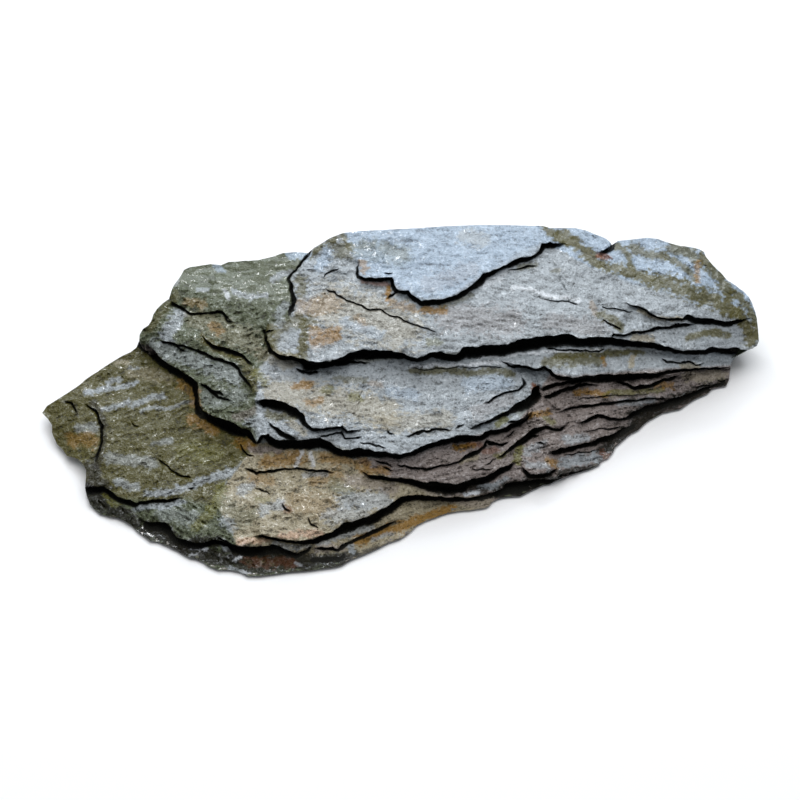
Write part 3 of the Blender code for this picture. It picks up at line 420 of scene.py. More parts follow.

# Brush strokes over the areas, in the order they are laid: colour, half width, strength, way
# The pale strokes are painted glints and highlights, the near black ones painted shade on undersides and
# in grooves, and the film and sky ones partly a painted reflection of the sky.
STROKES = (
    # Top slab, left part
    ("beige", 22, 0.55, ((330, 305), (400, 328))),
    ("rose", 13, 0.40, ((450, 318), (510, 322))),
    ("rose", 8, 0.35, ((550, 322), (600, 328))),
    ("olive", 8, 0.70, ((334, 249), (347, 249))),
    ("olive", 3, 0.85, ((309, 256), (322, 246), (336, 239))),
    ("olive", 2, 0.80, ((343, 235), (347, 243), (351, 250))),
    ("olive", 4, 0.45, ((362, 246), (372, 243))),
    ("olive", 5, 0.35, ((384, 247), (404, 254))),
    ("sky", 6, 0.85, ((327, 254), (320, 266))),
    ("olive", 6, 0.80, ((300, 281), (303, 293))),
    ("ochre", 9, 0.45, ((303, 306), (320, 305), (334, 303))),
    ("film", 4, 0.55, ((306, 297), (316, 291), (323, 287))),
    ("olive", 7, 0.75, ((276, 340), (288, 327), (298, 321), (310, 323))),
    ("ochre", 7, 0.75, ((315, 343), (334, 336))),
    ("ochre", 5, 0.60, ((312, 329), (322, 334), (336, 332))),
    ("olive", 4.5, 0.95, ((303, 322), (304, 335), (304, 348), (303, 360))),
    ("olive", 4.5, 0.90, ((272, 328), (269, 342), (276, 353), (296, 357))),
    ("film", 6, 0.75, ((284, 343), (289, 334))),
    ("film", 6, 0.60, ((316, 353), (334, 352))),
    ("ochre", 4, 0.45, ((357, 318), (364, 326))),
    ("sky", 5, 0.55, ((345, 322), (362, 330), (380, 334))),
    ("ochre", 3.5, 0.65, ((362, 262), (364, 270))),
    ("rust", 2.2, 0.60, ((364, 281), (376, 283), (388, 284))),
    ("ochre", 2.5, 1.00, ((388, 289), (388, 298))),
    ("ochre", 3.5, 0.50, ((393, 303), (414, 309))),
    ("ochre", 4, 0.85, ((424, 309), (434, 311), (443, 309))),
    ("olive", 3, 0.50, ((440, 305), (456, 301), (472, 296))),
    ("moss", 4, 0.45, ((430, 342), (440, 341))),
    ("pale", 2, 0.75, ((512, 288), (530, 289), (546, 296), (578, 301))),
    ("pale", 3, 0.45, ((484, 284), (500, 278), (508, 270))),
    ("olive", 2.5, 0.60, ((520, 268), (536, 264))),
    ("olive", 2, 0.60, ((552, 271), (559, 271))),
    ("ochre", 3, 0.40, ((592, 304), (596, 314))),
    ("olive", 4, 0.85, ((602, 315), (612, 319), (621, 327))),
    ("beige", 2, 0.80, ((639, 311), (655, 317), (680, 320))),
    # Crown slab
    ("slate", 10, 0.35, ((362, 250), (402, 254))),
    ("beige", 7, 0.30, ((466, 236), (482, 241))),
    ("rose", 8, 0.25, ((430, 284), (470, 270))),
    ("olive", 4, 0.95, ((545, 227), (556, 235), (566, 242), (577, 241))),
    # Right rim: olive valleys between pale facets
    ("olive", 5.5, 0.95, ((561, 233), (572, 243), (588, 254), (602, 264))),
    ("olive", 5.5, 0.95, ((602, 264), (622, 270), (646, 276))),
    ("olive", 8, 0.95, ((650, 280), (674, 286), (700, 294), (722, 304), (738, 314))),
    ("olive", 6, 0.95, ((734, 312), (747, 326), (751, 342))),
    ("olive", 3.2, 0.90, ((618, 246), (627, 252), (629, 262), (633, 268))),
    ("olive", 5, 0.85, ((634, 247), (647, 254), (662, 256))),
    ("olive", 3.5, 0.85, ((662, 257), (676, 262), (686, 269), (694, 278))),
    ("olive", 6, 0.85, ((672, 246), (690, 252), (703, 260))),
    ("olive", 6, 0.90, ((703, 258), (715, 272), (724, 284), (730, 296))),
    ("ochre", 3, 0.70, ((699, 262), (695, 273), (697, 280))),
    ("olive", 4, 0.90, ((732, 292), (745, 303), (754, 318), (757, 335))),
    ("rust", 3, 0.85, ((600, 256), (607, 257))),
    ("pale", 2, 0.60, ((744, 288), (738, 284))),
    # Wedge and second slab
    ("olive", 3, 0.90, ((688, 338), (704, 334), (727, 334))),
    ("beige", 4, 0.70, ((635, 337), (651, 340))),
    ("olive", 5, 0.80, ((547, 362), (575, 361), (600, 361))),
    ("olive", 4, 0.90, ((556, 356), (580, 354), (606, 353), (640, 350))),
    ("pale", 1.3, 0.75, ((478, 358), (500, 357), (530, 353), (560, 351), (602, 351))),
    ("pale", 1.3, 0.60, ((604, 348), (640, 349), (668, 352), (700, 356))),
    ("beige", 3, 0.70, ((682, 366), (697, 366))),
    ("beige", 2.5, 0.80, ((632, 358), (631, 366))),
    ("ochre", 2, 0.70, ((602, 358), (604, 366))),
    # Middle slab
    ("beige", 15, 0.65, ((280, 392), (340, 402), (385, 412))),
    ("beige", 9, 0.50, ((385, 424), (445, 420))),
    ("rose", 7, 0.35, ((478, 412), (508, 399))),
    ("sky", 8, 0.50, ((470, 384), (505, 382))),
    ("sky", 5, 0.50, ((390, 392), (415, 395))),
    ("film", 6, 0.75, ((278, 375), (300, 374), (330, 371), (355, 368))),
    ("olive", 3, 0.55, ((336, 378), (366, 381))),
    ("olive", 3.5, 0.80, ((412, 370), (450, 371), (475, 373), (500, 371), (514, 374))),
    ("pale", 1.6, 0.85, ((412, 366), (450, 365), (500, 363), (514, 366))),
    ("ochre", 4.5, 0.80, ((297, 385), (310, 385))),
    ("ochre", 3.5, 0.70, ((307, 402), (320, 401))),
    ("moss", 4, 0.60, ((324, 391), (331, 389))),
    ("moss", 4, 0.60, ((352, 396), (359, 398))),
    ("ochre", 3, 0.35, ((371, 383), (380, 384))),
    ("moss", 4, 0.80, ((497, 423), (506, 417))),
    ("rust", 3.5, 1.00, ((534, 387), (534, 397))),
    ("olive", 4, 0.80, ((268, 416), (292, 417))),
    ("beige", 4, 0.60, ((292, 424), (305, 433))),
    # Upper left slab
    ("pale", 2, 0.75, ((224, 291), (228, 298))),
    ("film", 2.5, 0.80, ((232, 293), (254, 297), (266, 296))),
    ("film", 2, 0.70, ((198, 290), (207, 289))),
    ("sky", 3, 0.60, ((215, 266), (222, 270))),
    ("film", 3, 0.80, ((273, 280), (284, 273), (292, 273))),
    ("sky", 4, 0.80, ((289, 254), (306, 255))),
    ("film", 6, 0.85, ((180, 314), (172, 328), (164, 337))),
    ("film", 9, 0.50, ((156, 346), (198, 362), (236, 376))),
    ("film", 8, 0.30, ((206, 398), (240, 396))),
    ("beige", 11, 0.30, ((196, 318), (252, 342))),
    ("ochre", 4, 0.60, ((213, 326), (221, 331))),
    ("ochre", 4, 0.40, ((186, 302), (203, 304))),
    ("film", 5, 0.60, ((285, 307), (279, 318))),
    ("olive", 5, 0.90, ((204, 341), (224, 352), (240, 358), (250, 370), (254, 386))),
    ("moss", 4, 0.70, ((257, 374), (265, 383))),
    ("beige", 7, 0.45, ((262, 355), (290, 362))),
    ("film", 5, 0.75, ((250, 421), (268, 425))),
    ("rose", 4, 0.50, ((236, 418), (252, 412))),
    ("olive", 5, 0.70, ((147, 328), (163, 310), (176, 296))),
    # Tip slab
    ("beige", 6, 0.35, ((132, 372), (168, 378))),
    ("film", 2.6, 0.90, ((86, 393), (100, 390), (114, 388), (126, 385), (136, 383))),
    ("film", 2, 0.75, ((106, 383), (121, 379))),
    ("film", 2.2, 0.75, ((104, 408), (118, 406), (129, 401))),
    ("film", 3.2, 0.75, ((134, 404), (147, 399), (163, 396))),
    ("film", 1.8, 0.60, ((142, 411), (160, 408), (180, 405), (193, 402))),
    ("film", 2, 0.60, ((129, 369), (137, 367))),
    ("beige", 2, 0.55, ((117, 363), (127, 362))),
    ("film", 3, 0.45, ((155, 444), (171, 441))),
    ("film", 4.5, 0.45, ((77, 429), (96, 427))),
    ("film", 5, 0.40, ((108, 458), (130, 461), (154, 462))),
    ("ochre", 6, 0.50, ((72, 438), (92, 441))),
    ("ochre", 5, 0.60, ((182, 384), (195, 392), (196, 404))),
    ("ochre", 6, 0.70, ((194, 420), (213, 429))),
    ("ochre", 5, 0.75, ((238, 442), (252, 447))),
    ("moss", 9, 0.45, ((185, 450), (215, 455))),
    # The near black strokes along the tip fold and its valley are painted shade in the grooves.
    ("painted_underside_shade", 3.2, 0.65, ((92, 403), (101, 410), (104, 425), (103, 447), (96, 466))),
    ("painted_underside_shade", 8, 0.75, ((92, 468), (94, 484), (104, 488))),
    ("painted_underside_shade", 2, 0.60, ((66, 402), (74, 407), (77, 413))),
    ("film", 4, 0.60, ((117, 482), (136, 487))),
    ("film", 4, 0.80, ((148, 494), (170, 492), (190, 487), (203, 480), (230, 472))),
    ("film", 3, 0.85, ((136, 509), (156, 506), (184, 502))),
    # Lower wall
    ("film", 8, 0.30, ((165, 513), (200, 520))),
    ("moss", 5, 0.70, ((222, 487), (217, 501), (208, 515), (197, 526))),
    # The near black strokes here are painted shade on the undersides along the lower edge.
    ("painted_underside_shade", 9, 0.90, ((88, 494), (108, 506), (134, 524))),
    ("painted_underside_shade", 9, 0.95, ((148, 532), (165, 535), (180, 548))),
    ("painted_underside_shade", 8, 0.92, ((180, 550), (206, 556), (232, 562))),
    ("painted_underside_shade", 6, 0.90, ((196, 542), (222, 543), (240, 550))),
    ("moss", 3, 0.55, ((104, 494), (116, 504))),
    # Painted glints on the wet lower wall.
    ("pale", 1.5, 0.80, ((193, 548), (198, 548))),
    ("pale", 1.5, 0.80, ((201, 547), (206, 549))),
    ("pale", 1.2, 0.60, ((190, 555), (198, 554))),
    ("film", 2, 0.55, ((221, 545), (232, 550))),
    ("pale", 1.2, 0.60, ((229, 556), (238, 557))),
    ("painted_underside_shade", 8, 0.93, ((240, 553), (270, 556), (300, 560), (330, 562), (352, 556))),
    ("painted_underside_shade", 6, 0.85, ((240, 568), (275, 568), (310, 567))),
    ("rust", 5, 0.30, ((246, 561), (294, 564))),
    ("pale", 1.2, 0.70, ((236, 561), (240, 556))),
    ("pale", 1.4, 0.60, ((240, 571), (250, 573))),
    ("film", 1.5, 0.60, ((296, 563), (300, 565))),
    ("film", 1.5, 0.50, ((225, 568), (240, 571))),
    # Tongue
    ("ochre", 7, 0.75, ((266, 461), (284, 458), (300, 459))),
    ("ochre", 5, 0.65, ((322, 458), (345, 461), (366, 463))),
    ("ochre", 4, 0.75, ((364, 470), (386, 470))),
    ("rose", 3, 0.80, ((252, 450), (282, 449))),
    ("pale", 2, 0.65, ((302, 452), (297, 467))),
    ("pale", 2, 0.65, ((309, 452), (313, 465))),
    ("ochre", 6, 0.50, ((254, 478), (270, 482))),
    ("ochre", 7, 0.50, ((314, 479), (338, 476))),
    ("ochre", 10, 0.30, ((296, 500), (328, 508))),
    ("moss", 3, 0.45, ((257, 499), (267, 501))),
    ("rust", 3, 0.50, ((284, 506), (289, 511))),
    ("slate", 6, 0.55, ((333, 483), (348, 492))),
    ("slate", 9, 0.45, ((226, 505), (240, 520), (250, 515))),
    ("film", 8, 0.70, ((344, 501), (386, 500))),
    ("film", 8, 0.55, ((330, 517), (362, 512))),
    ("film", 5, 0.65, ((240, 491), (250, 485))),
    ("film", 5, 0.60, ((224, 521), (232, 526))),
    ("film", 5, 0.65, ((263, 510), (281, 505))),
    ("film", 3, 0.60, ((305, 474), (326, 474))),
    ("rose", 6, 0.55, ((350, 480), (392, 489))),
    ("flesh", 3.5, 0.95, ((282, 535), (300, 533), (320, 534))),
    ("flesh", 3, 0.85, ((240, 542), (254, 541), (268, 539))),
    # Front lips
    ("film", 4, 0.70, ((320, 542), (345, 534), (372, 527))),
    ("ochre", 5, 0.90, ((358, 541), (380, 533), (402, 526), (430, 517), (452, 509))),
    ("film", 2, 0.60, ((372, 541), (392, 534))),
    ("rose", 3, 0.60, ((318, 549), (345, 547))),
    ("film", 3, 0.80, ((350, 545), (353, 551))),
    ("film", 3, 0.60, ((275, 543), (286, 548), (309, 546))),
    # The near black stroke is painted shade along the lower edge.
    ("painted_underside_shade", 2.5, 0.80, ((345, 560), (372, 551), (400, 540), (430, 524))),
    # Strata
    # The near black strokes are painted shade on the strata's undersides.
    ("painted_underside_shade", 5, 0.90, ((440, 491), (470, 488), (498, 487))),
    ("pale", 1.8, 0.80, ((465, 494), (478, 492))),
    ("film", 3, 0.70, ((482, 487), (496, 485), (506, 480))),
    ("painted_underside_shade", 8, 0.97, ((503, 492), (530, 485), (554, 479))),
    ("painted_underside_shade", 3.5, 0.90, ((560, 473), (590, 468), (603, 461))),
    ("painted_underside_shade", 8, 0.97, ((604, 452), (618, 441), (634, 430), (648, 420))),
    ("painted_underside_shade", 7, 0.97, ((634, 416), (660, 408), (682, 399), (706, 390), (722, 388))),
    ("painted_underside_shade", 3, 0.70, ((717, 379), (727, 382))),
    ("rust", 3, 0.60, ((603, 453), (608, 457))),
    ("ochre", 3, 0.85, ((575, 393), (590, 393), (606, 395))),
    ("moss", 2.5, 0.65, ((606, 394), (640, 391), (662, 390))),
    ("ochre", 3, 0.75, ((655, 385), (672, 386))),
    ("ochre", 3.5, 0.95, ((456, 447), (472, 446))),
    ("rust", 3, 0.50, ((470, 445), (482, 445))),
    ("ochre", 3, 0.85, ((529, 417), (549, 412))),
    ("ochre", 3.5, 0.80, ((549, 461), (557, 465))),
    ("moss", 3, 0.70, ((497, 457), (504, 454))),
    ("moss", 4, 0.80, ((520, 446), (517, 462))),
    ("moss", 3, 0.60, ((545, 419), (554, 422))),
    ("beige", 3, 0.70, ((461, 461), (476, 457))),
    ("rust", 2.5, 0.50, ((484, 451), (496, 450))),
    ("film", 4, 0.70, ((564, 440), (586, 437))),
    ("film", 5, 0.85, ((563, 463), (597, 457))),
    ("film", 4, 0.60, ((622, 403), (652, 401))),
    ("film", 4, 0.60, ((528, 464), (546, 466))),
    ("film", 4, 0.60, ((543, 444), (528, 452))),
    ("beige", 5, 0.50, ((688, 377), (722, 375))),
)
STROKE_WAVER = 0.8

# Colours of the hidden sides: size of their patches, how speckled they are, and over how
# many rings the upper face's own colours run on down
HIDDEN_PATCHES = 0.035
HIDDEN_SPECKLED = 0.7
HIDDEN_BLEND = 5


class StoneSizes(bpy.types.PropertyGroup):
    """Sizes of the slab's form and of its fine relief."""

    view_distance: FloatProperty(
        name="View distance",
        description="From the eye to the place on the resting plane that it looks at",
        default=1.1343, unit="LENGTH",
    )
    view_elevation: FloatProperty(
        name="View elevation",
        description="How far above the ground the eye looks down from",
        default=math.radians(40.0), subtype="ANGLE",
    )
    aim: FloatVectorProperty(
        name="Aim",
        description="The place on the resting plane that the drawn view looks at",
        default=(-0.0037, 0.0227, 0.0), subtype="TRANSLATION",
    )
    wrinkles: FloatProperty(
        name="Wrinkles", description="How strongly the slabs' faces are wrinkled",
        default=1.5, min=0.0, subtype="FACTOR",
    )
    thin_layers: FloatProperty(
        name="Thin layers", description="How strongly thin split layers step the faces",
        default=1.4, min=0.0, subtype="FACTOR",
    )
    flutes_mm: FloatProperty(
        name="Flutes", description="Height of the flutes along the brinks, in millimetres",
        default=0.5, min=0.0,
    )
    lip_mm: FloatProperty(
        name="Worn lip", description="How far a brink is worn down, in millimetres",
        default=0.45, min=0.0,
    )
    grain_height: FloatProperty(
        name="Grain height", description="Height of the grain raised on the whole stone",
        default=0.0004, min=0.0, unit="LENGTH",
    )
    grain_size: FloatProperty(
        name="Grain size", description="Size of the grain raised on the whole stone",
        default=0.0032, min=0.0, unit="LENGTH",
    )


class StoneColours(bpy.types.PropertyGroup):
    """Colours of the wet slate: the tints it is painted with, and the painted shade, sheen and glints
    laid over them.
    """

    slate: FloatVectorProperty(
        name="Slate", description="The green grey of the split stone",
        default=(0.090, 0.104, 0.058), subtype="COLOR", min=0.0, max=1.0,
    )
    olive: FloatVectorProperty(
        name="Olive", description="The olive brown growth in the low places",
        default=(0.078, 0.069, 0.013), subtype="COLOR", min=0.0, max=1.0,
    )
    moss: FloatVectorProperty(
        name="Moss", description="The yellow green growth",
        default=(0.125, 0.120, 0.012), subtype="COLOR", min=0.0, max=1.0,
    )
    # Partly the slate's own blue grey, partly a painted reflection of the bright sky in the water on the
    # flat faces.
    film: FloatVectorProperty(
        name="Film", description="The pale blue grey of wet flat faces",
        default=(0.300, 0.330, 0.350), subtype="COLOR", min=0.0, max=1.0,
    )
    # Partly the slate's own blue, partly a painted reflection of the bright sky in the water on the
    # highest faces.
    sky: FloatVectorProperty(
        name="Sky", description="The clearer blue of the highest wet faces",
        default=(0.300, 0.375, 0.460), subtype="COLOR", min=0.0, max=1.0,
    )
    # Painted highlight: the near white of glints on ridges and drops and of lit edges.
    pale: FloatVectorProperty(
        name="Pale", description="The near white of ridges and drops",
        default=(0.600, 0.630, 0.660), subtype="COLOR", min=0.0, max=1.0,
    )
    beige: FloatVectorProperty(
        name="Beige", description="The worn bare stone",
        default=(0.310, 0.270, 0.180), subtype="COLOR", min=0.0, max=1.0,
    )
    rose: FloatVectorProperty(
        name="Rose", description="The lavender grey of the lower layers",
        default=(0.225, 0.190, 0.175), subtype="COLOR", min=0.0, max=1.0,
    )
    flesh: FloatVectorProperty(
        name="Flesh", description="The pinkish bare stone of the front lips",
        default=(0.450, 0.310, 0.210), subtype="COLOR", min=0.0, max=1.0,
    )
    ochre: FloatVectorProperty(
        name="Ochre", description="The yellow brown stain",
        default=(0.230, 0.120, 0.015), subtype="COLOR", min=0.0, max=1.0,
    )
    rust: FloatVectorProperty(
        name="Rust", description="The red brown stain",
        default=(0.170, 0.050, 0.012), subtype="COLOR", min=0.0, max=1.0,
    )
    # Painted shade: the near black laid on the undersides, along the lower edge and in the grooves, where
    # shade falls.
    painted_underside_shade: FloatVectorProperty(
        name="Umber", description="The near black wet undersides",
        default=(0.010, 0.008, 0.004), subtype="COLOR", min=0.0, max=1.0,
    )
    # Painted shade: the dark olive laid in the troughs between wrinkles, where shade falls.
    painted_trough_shade: FloatVectorProperty(
        name="Trough", description="The dark olive of the troughs between wrinkles",
        default=(0.012, 0.011, 0.004), subtype="COLOR", min=0.0, max=1.0,
    )
    # Painted sheen: what is added to the tints on the crests in place of the light on the water.
    painted_crest_sheen: FloatVectorProperty(
        name="Glaze", description="What the water adds to the tints on the crests",
        default=(0.050, 0.056, 0.062), subtype="COLOR", min=0.0, max=1.0,
    )
    # Painted glints and highlights: what is added to the tints on the brightest crests and along the
    # lips.
    drops: FloatVectorProperty(
        name="Drops", description="What the brightest drops and edges add to the tints",
        default=(0.230, 0.240, 0.240), subtype="COLOR", min=0.0, max=1.0,
    )
    # Painted shade: the near black laid in the open clefts under the brinks.
    cleft: FloatVectorProperty(
        name="Cleft", description="The black of the open clefts",
        default=(0.006, 0.006, 0.004), subtype="COLOR", min=0.0, max=1.0,
    )


class StudioSettings(bpy.types.PropertyGroup):
    """Floor, lights and lens of the studio."""

    floor_size: FloatProperty(
        name="Floor size", description="Side of the plain floor", default=8.0, unit="LENGTH",
    )
    floor_colour: FloatVectorProperty(
        name="Floor", description="The plain pale floor",
        default=(0.92, 0.92, 0.92), subtype="COLOR", min=0.0, max=1.0,
    )
    room_colour: FloatVectorProperty(
        name="Room light", description="Soft light from all round",
        default=(0.30, 0.31, 0.33), subtype="COLOR", min=0.0, max=1.0,
    )
    overhead_power: FloatProperty(
        name="Overhead", description="Power of the large soft box above the stone",
        default=27.0, unit="POWER",
    )
    panel_power: FloatProperty(
        name="Panel", description="Power of the large soft panel behind, seen in the wet faces",
        default=20.0, unit="POWER",
    )
    glint_power: FloatProperty(
        name="Glint", description="Power of the small light that makes the wet glints",
        default=1.5, unit="POWER",
    )
    lens_mm: FloatProperty(
        name="Lens", description="Focal length of the camera, in millimetres", default=85.0,
    )


def sight_point(across, down, level, sizes):
    """World x and y in millimetres where the sight line of a view point reaches a height."""
    distance = sizes.view_distance / MILLIMETRE
    elevation = sizes.view_elevation
    right = (across - VIEW_MIDDLE) / VIEW_FOCAL
    up = (VIEW_MIDDLE - down) / VIEW_FOCAL
    ahead = math.cos(elevation) + up * math.sin(elevation)
    fall = math.sin(elevation) - up * math.cos(elevation)
    reach = (distance * math.sin(elevation) - level) / fall
    x = right * reach + sizes.aim[0] / MILLIMETRE
    y = ahead * reach - distance * math.cos(elevation) + sizes.aim[1] / MILLIMETRE
    return x, y


def thin_plate(distance_squared):
    return distance_squared * np.log(distance_squared + 1e-9)


def fit_slope():
    """A smooth thin-plate surface through the spot heights, as a function of view points."""
    spots = np.array(SPOTS, float)
    places = spots[:, :2] / VIEW_MIDDLE
    gaps = ((places[:, None] - places[None]) ** 2).sum(axis=2)
    plane = np.column_stack([np.ones(len(places)), places])
    stiffness = thin_plate(gaps) + SLOPE_EASE * np.eye(len(places))
    system = np.block([[stiffness, plane], [plane.T, np.zeros((3, 3))]])
    weights = np.linalg.solve(system, np.concatenate([spots[:, 2], np.zeros(3)]))

    def slope(points):
        at = points / VIEW_MIDDLE
        away = ((at[:, None] - places[None]) ** 2).sum(axis=2)
        tilt = np.column_stack([np.ones(len(at)), at])
        return thin_plate(away) @ weights[:-3] + tilt @ weights[-3:]

    return slope


def smooth_step(value):
    held = np.clip(value, 0.0, 1.0)
    return held * held * (3.0 - 2.0 * held)


def field(points, across, down, seed, rise=0.0, octaves=1):
    """Soft noise over view points, stretched by its sizes along and across a rising way."""
    turn = math.radians(rise)
    along = points[:, 0] * math.cos(turn) - points[:, 1] * math.sin(turn)
    beside_it = points[:, 0] * math.sin(turn) + points[:, 1] * math.cos(turn)
    places = np.column_stack([along / across, beside_it / down]).tolist()
    if octaves == 1:
        return np.array([noise.noise((x, y, seed)) for x, y in places])
    return np.array([noise.fractal((x, y, seed), 0.7, 2.1, octaves) for x, y in places])


def waver(points):
    """How far the drawn lines wander at each view point."""
    shift = np.zeros((len(points), 2))
    for index, (size, amount) in enumerate(WAVER):
        shift[:, 0] += amount * field(points, size, size, SEED + 10.0 * index)
        shift[:, 1] += amount * field(points, size, size, SEED + 10.0 * index + 5.0)
    return shift


def wandered(line):
    """A drawn line moved to where the wandering surface shows it."""
    moved = line.copy()
    for _ in range(WAVER_ROUNDS):
        moved = line - waver(moved)
    return moved


def beside(points, brink, fade_in, fade_out):
    """Signed distance below a brink, and the gap, strength and place of the nearest point."""
    line = np.array(brink, float)
    start, end = line[:-1, :2], line[1:, :2]
    run = end - start
    length = np.hypot(run[:, 0], run[:, 1])
    travelled = np.concatenate([[0.0], np.cumsum(length)])
    best = np.full(len(points), np.inf)
    signed = np.zeros(len(points))
    gap = np.zeros(len(points))
    place = np.zeros(len(points))
    facing = np.column_stack([-run[:, 1], run[:, 0]]) / length[:, None]
    for index in range(len(run)):
        offset = points - start[index]
        along = np.clip(offset @ run[index] / length[index] ** 2, 0.0, 1.0)
        away = offset - along[:, None] * run[index]
        distance = np.hypot(away[:, 0], away[:, 1])
        normal = np.repeat(facing[index][None], len(points), axis=0)
        if index > 0:
            normal[along == 0.0] = facing[index] + facing[index - 1]
        if index < len(run) - 1:
            normal[along == 1.0] = facing[index] + facing[index + 1]
        nearer = distance < best
        side = np.where((away * normal).sum(axis=1) > 0.0, 1.0, -1.0)
        best = np.where(nearer, distance, best)
        signed = np.where(nearer, distance * side, signed)
        gap = np.where(nearer, line[index, 2] + along * (line[index + 1, 2] - line[index, 2]), gap)
        place = np.where(nearer, travelled[index] + along * length[index], place)
    strength = np.ones(len(points))
    if fade_in:
        strength *= smooth_step(place / fade_in)
    if fade_out:
        strength *= smooth_step((travelled[-1] - place) / fade_out)
    return signed, gap, strength, place


def flutes(signed, strength, place, seed):
    """Small ribs that run down to a brink, strongest at it."""
    height = np.zeros(len(signed))
    close = np.flatnonzero((signed < 0.5) & (signed > -16.0) & (strength > 0.0))
    ribs = [noise.noise((place[i] / 4.0, signed[i] / 13.0, seed)) for i in close]
    height[close] = np.array(ribs) * np.exp(signed[close] / 6.0) * strength[close]
    return height


def ledge_form(points, level, marks, ledges, reach, sizes):
    """Cuts ledges into the level and wears their lips down, and marks the clefts under them for painted
    shade and the lips for a painted highlight.
    """
    for number, (_, drop, fade_in, fade_out, brink) in enumerate(ledges):
        here = near_line(points, brink, LEDGE_END * reach)
        signed, gap, strength, place = beside(points[here], brink, fade_in, fade_out)
        near = np.exp(-np.abs(signed) / reach)
        below = signed > BRINK_HOLD
        change = np.where(below, -0.5, 0.5) * drop * strength * near
        cleft = CLEFT_DEPTH_MM + CLEFT_DEPTH_PER_GAP_MM * gap
        rise = smooth_step((signed - 0.5 * gap) / (0.5 * gap + 0.5))
        change -= np.where(below, cleft * strength * (1.0 - rise), 0.0)
        # The cleft mark is where the material lays painted shade under a brink, and the lip mark where it
        # lays a painted highlight along the brink's edge.
        shade = smooth_step((1.35 * gap + 1.0 - signed) / (0.7 * gap + 1.0)) * strength
        marks["cleft"][here] = np.maximum(marks["cleft"][here], np.where(below, shade, 0.0))
        lip = np.where(below, 0.0, np.exp(np.minimum(signed, 0.0) / 2.0)) * strength
        marks["lip"][here] = np.maximum(marks["lip"][here], lip * min(1.0, drop / 3.0))
        wear = np.where(below, 0.0, np.exp(np.minimum(signed, 0.0) / 1.3)) * strength
        change -= sizes.lip_mm * wear * min(1.0, drop / 3.0)
        change += sizes.flutes_mm * min(1.0, drop / 4.0) * flutes(signed, strength, place, number)
        level[here] += change


def border_distance(points, border):
    """Distance from a closed border, positive inside it."""
    loop = np.array(border, float)
    best = np.full(len(points), np.inf)
    for first, second in zip(loop, np.roll(loop, -1, axis=0)):
        run = second - first
        offset = points - first
        along = np.clip(offset @ run / (run @ run), 0.0, 1.0)
        away = offset - along[:, None] * run
        best = np.minimum(best, np.hypot(away[:, 0], away[:, 1]))
    return np.where(inside(points, loop), best, -best)


def area_shares(points):
    """How much each view point belongs to each area, adding up to 1."""
    shares = [
        smooth_step(0.5 + border_distance(points, area[-1]) / AREA_SOFTNESS) + 1e-4
        for area in AREAS
    ]
    return np.array(shares) / np.sum(shares, axis=0)


def wrinkle(points, rise, width, length, seed):
    """Long sharp-crested wrinkles with round troughs between them."""
    swell = field(points, length, width, seed, rise)
    fine = field(points, 0.45 * length, 0.5 * width, seed + 3.0, rise)
    return 0.5 - 2.0 * np.abs(swell) + 0.7 * (0.3 - np.abs(fine))


def thin_layers(points, rise, seed):
    """Steps of thin split layers: flat treads with short steep rises between them."""
    swell = 5.0 * field(points, 46.0, 17.0, seed, rise, octaves=4)
    tread = np.floor(swell)
    return tread + smooth_step((swell - tread - 0.82) / 0.18) - swell


def fine_relief(points, shares, sizes):
    """Height of wrinkles, thin layers and lumps in millimetres, and how high in them each is."""
    height = LUMP_MM * np.array([
        noise.fractal(Vector((x * LUMPS_ACROSS, y * LUMPS_DOWN, SEED)), 0.6, 2.1, 3)
        for x, y in points
    ])
    crest = np.zeros(len(points))
    for number, (area, share) in enumerate(zip(AREAS, shares)):
        rise, high, width, length, layer = area[3:8]
        here = np.flatnonzero(share > 0.02)
        seed = 20.0 * number
        wrinkles = wrinkle(points[here], rise, width, length, seed)
        layers = thin_layers(points[here], rise, seed + 7.0)
        some = wrinkles * high * sizes.wrinkles + layers * layer * sizes.thin_layers
        height[here] += some * share[here]
        crest[here] += (wrinkles + 0.6 * layers) * share[here]
    return height, crest


def near_line(points, way, margin):
    """Numbers of the view points in the box around a line, widened by a margin."""
    low = np.min(way, axis=0)[:2] - margin
    high = np.max(way, axis=0)[:2] + margin
    return np.flatnonzero(((points > low) & (points < high)).all(axis=1))


def paint(points, shares, crest, colours):
    """The tint at each view point: the areas' own, then the brush strokes in their order."""
    tint = sum(np.outer(share, getattr(colours, area[1])) for area, share in zip(AREAS, shares))
    ragged = field(points, 6.0, 3.0, SEED + 40.0, octaves=3) - 0.35 * crest
    for colour, half_width, amount, way in STROKES:
        here = near_line(points, way, 2.0 * half_width)
        line = [(x, y, 0.0) for x, y in way]
        away = np.abs(beside(points[here], line, 0, 0)[0]) / half_width + STROKE_WAVER * ragged[here]
        mark = amount * smooth_step((1.35 - away) / 0.6)
        tint[here] += (np.array(getattr(colours, colour)) - tint[here]) * mark[:, None]
    return tint


def along_line(points, step, closed=False):
    """A traced line with a point at every corner and more between them, a step apart."""
    corners = [np.array(point, float) for point in points]
    if closed:
        corners.append(corners[0])
    spaced = []
    for first, second in zip(corners, corners[1:]):
        pieces = max(1, round(np.hypot(*(second - first)[:2]) / step))
        spaced += [first + (second - first) * share / pieces for share in range(pieces)]
    if not closed:
        spaced.append(corners[-1])
    return np.array(spaced)


def beneath(line, share, extra):
    """The line that runs below a brink at a share of its gap plus an extra distance."""
    run = np.gradient(line[:, :2], axis=0)
    facing = np.column_stack([-run[:, 1], run[:, 0]])
    facing /= np.hypot(facing[:, 0], facing[:, 1])[:, None]
    return line[:, :2] + facing * (line[:, 2:3] * share + extra)


